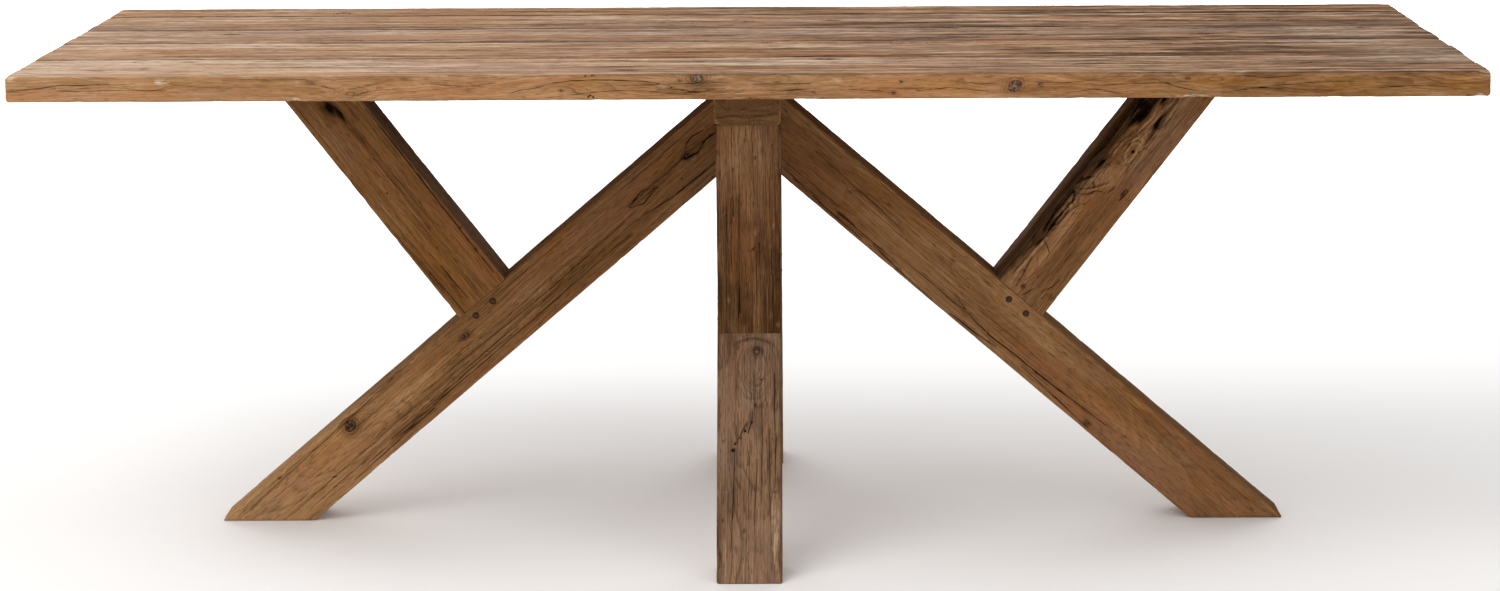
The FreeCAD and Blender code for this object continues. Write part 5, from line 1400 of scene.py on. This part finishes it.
def screws(node, places, z, up):
    """Domed heads with a cross recess, on their shanks; z is the lower side of the head."""
    V, F = [], []
    n = 32
    for x, y in places:
        b = len(V)
        turn = 0.7 * (x + 2 * y) % 1.57
        radii = [0.5, 1.0, 1.5, 2.0, 2.5, 3.1, 3.8, 4.4, 4.8, 5.0]
        V.append((x, y, z + 1.9))
        for r in radii:
            for k in range(n):
                t = 2 * math.pi * k / n
                px, py = r * math.cos(t), r * math.sin(t)
                dome = 1.1 * (r / 5.0) ** 2.2
                u, v = px * math.cos(turn) + py * math.sin(turn), -px * math.sin(turn) + py * math.cos(turn)
                in_cross = r < 2.8 and min(abs(u), abs(v)) < 0.62
                V.append((x + px, y + py, z + (1.9 if in_cross else dome)))
        for r, h in ((5.0, 2.6), (2.4, 4.0), (2.4, up)):
            V += [(x + r * math.cos(2 * math.pi * k / n), y + r * math.sin(2 * math.pi * k / n), z + h) for k in range(n)]
        V.append((x, y, z + up + 2.0))
        rows = len(radii) + 3
        F += [[b, b + 1 + (k + 1) % n, b + 1 + k] for k in range(n)]
        for r in range(rows - 1):
            for k in range(n):
                p, q = b + 1 + r * n + k, b + 1 + r * n + (k + 1) % n
                F.append([p, q, q + n, p + n])
        tip = b + 1 + rows * n
        F += [[tip, tip - n + k, tip - n + (k + 1) % n] for k in range(n)]
    me = bpy.data.meshes.new("vis_" + node)
    me.from_pydata([tuple(c * MM for c in v) for v in V], [], F)
    me.materials.append(STEEL)
    me.shade_smooth()
    me.update()
    ob = bpy.data.objects.new("vis_" + node, me)
    bpy.context.scene.collection.objects.link(ob)
    place(ob, node)


screws("cross_bearer_screws", [(0, y) for y in (-417, -300, -204, -100, 100, 204, 300, 417)], 699, 50)
screws("long_bearer_screws", [(sx * x, 0) for sx in (1, -1) for x in (300, 550, 820)], 699, 50)
screws("batten_screws", [(sx * 900, y) for sx in (1, -1) for y in (-300, -204, -100, 100, 204, 300)], 723, 30)

for name, mat in (("plank_splines", INNER), ("apex_dowels", INNER), ("apex_screws", STEEL)):
    me = NODES[name].data
    me.materials.clear()
    me.materials.append(mat)

# ---------------------------------------------------------------- floor, light, camera

n = 96
ring_v = [(12.0 * math.cos(2 * math.pi * k / n), 9.0 + 0 * k + 22.0 * math.sin(2 * math.pi * k / n), 0.0) for k in range(n)]
me = bpy.data.meshes.new("floor")
me.from_pydata([(0.0, 0.0, -0.0004)] + [(x * 2.5, y * 1.2, -0.0004) for x, y, z in ring_v], [], [[0, 1 + k, 1 + (k + 1) % n] for k in range(n)])
g = Graph("floor_paint")
fP = g.node("TexCoord").outputs["Object"]
fN = g.noise(g.vec("MULTIPLY", fP, (3.0, 3.0, 3.0)), 3, 0.6)
me.materials.append(g.done(g.mix(fN, (0.86, 0.855, 0.85, 1), (0.9, 0.895, 0.89, 1)), g.ramp(fN, 0.3, 0.7, 0.75, 0.85), fN, 0.02, 0.001, 0.2))
floor = bpy.data.objects.new("floor", me)
bpy.context.scene.collection.objects.link(floor)


def area(name, at, look, size, power, colour=(1, 1, 1)):
    li = bpy.data.lights.new(name, "AREA")
    li.shape = "RECTANGLE"
    li.size, li.size_y = size
    li.energy = power
    li.color = colour
    ob = bpy.data.objects.new(name, li)
    ob.location = at
    ob.rotation_euler = (Vector(look) - Vector(at)).to_track_quat("-Z", "Y").to_euler()
    ob.visible_camera = False
    bpy.context.scene.collection.objects.link(ob)


area("key", (-2.4, -2.5, 4.2), (-0.1, 0.0, 0.5), (3.6, 3.4), 130, (1.0, 0.985, 0.965))
area("fill", (3.4, -4.4, 2.2), (0.3, 0.0, 0.4), (2.6, 2.0), 16, (1.0, 0.99, 0.98))
area("far_floor", (0.0, 8.5, 3.4), (0.0, 8.5, 0.0), (14.0, 7.0), 900)

world = bpy.data.worlds.new("studio")
bpy.context.scene.world = world
world.use_nodes = True
world.node_tree.nodes["Background"].inputs["Color"].default_value = (1.0, 1.0, 1.0, 1.0)
world.node_tree.nodes["Background"].inputs["Strength"].default_value = 0.74

scene = bpy.context.scene
scene.view_settings.view_transform = "Standard"
scene.view_settings.look = "None"

yaw, pitch, roll = 0.0103, 0.17218, -0.00555
right = np.array([math.cos(yaw), math.sin(yaw), 0])
fwd = np.array([-math.sin(yaw), math.cos(yaw), 0])
up3 = np.array([0, 0, 1.0])
f2 = math.cos(pitch) * fwd - math.sin(pitch) * up3
u2 = math.sin(pitch) * fwd + math.cos(pitch) * up3
r3 = math.cos(roll) * right + math.sin(roll) * u2
u3 = -math.sin(roll) * right + math.cos(roll) * u2
cam = bpy.data.cameras.new("camera")
cam.sensor_fit = "HORIZONTAL"
cam.sensor_width = 36.0
cam.lens = 3939.22 * 36.0 / 1500.0
cam.clip_end = 200.0
co = bpy.data.objects.new("camera", cam)
co.matrix_world = Matrix(np.vstack([np.column_stack([r3, u3, -f2, [0.06326, -6.29159, 1.45411]]), [0, 0, 0, 1]]).tolist())
bpy.context.scene.collection.objects.link(co)
scene.camera = co

bpy.context.view_layer.update()
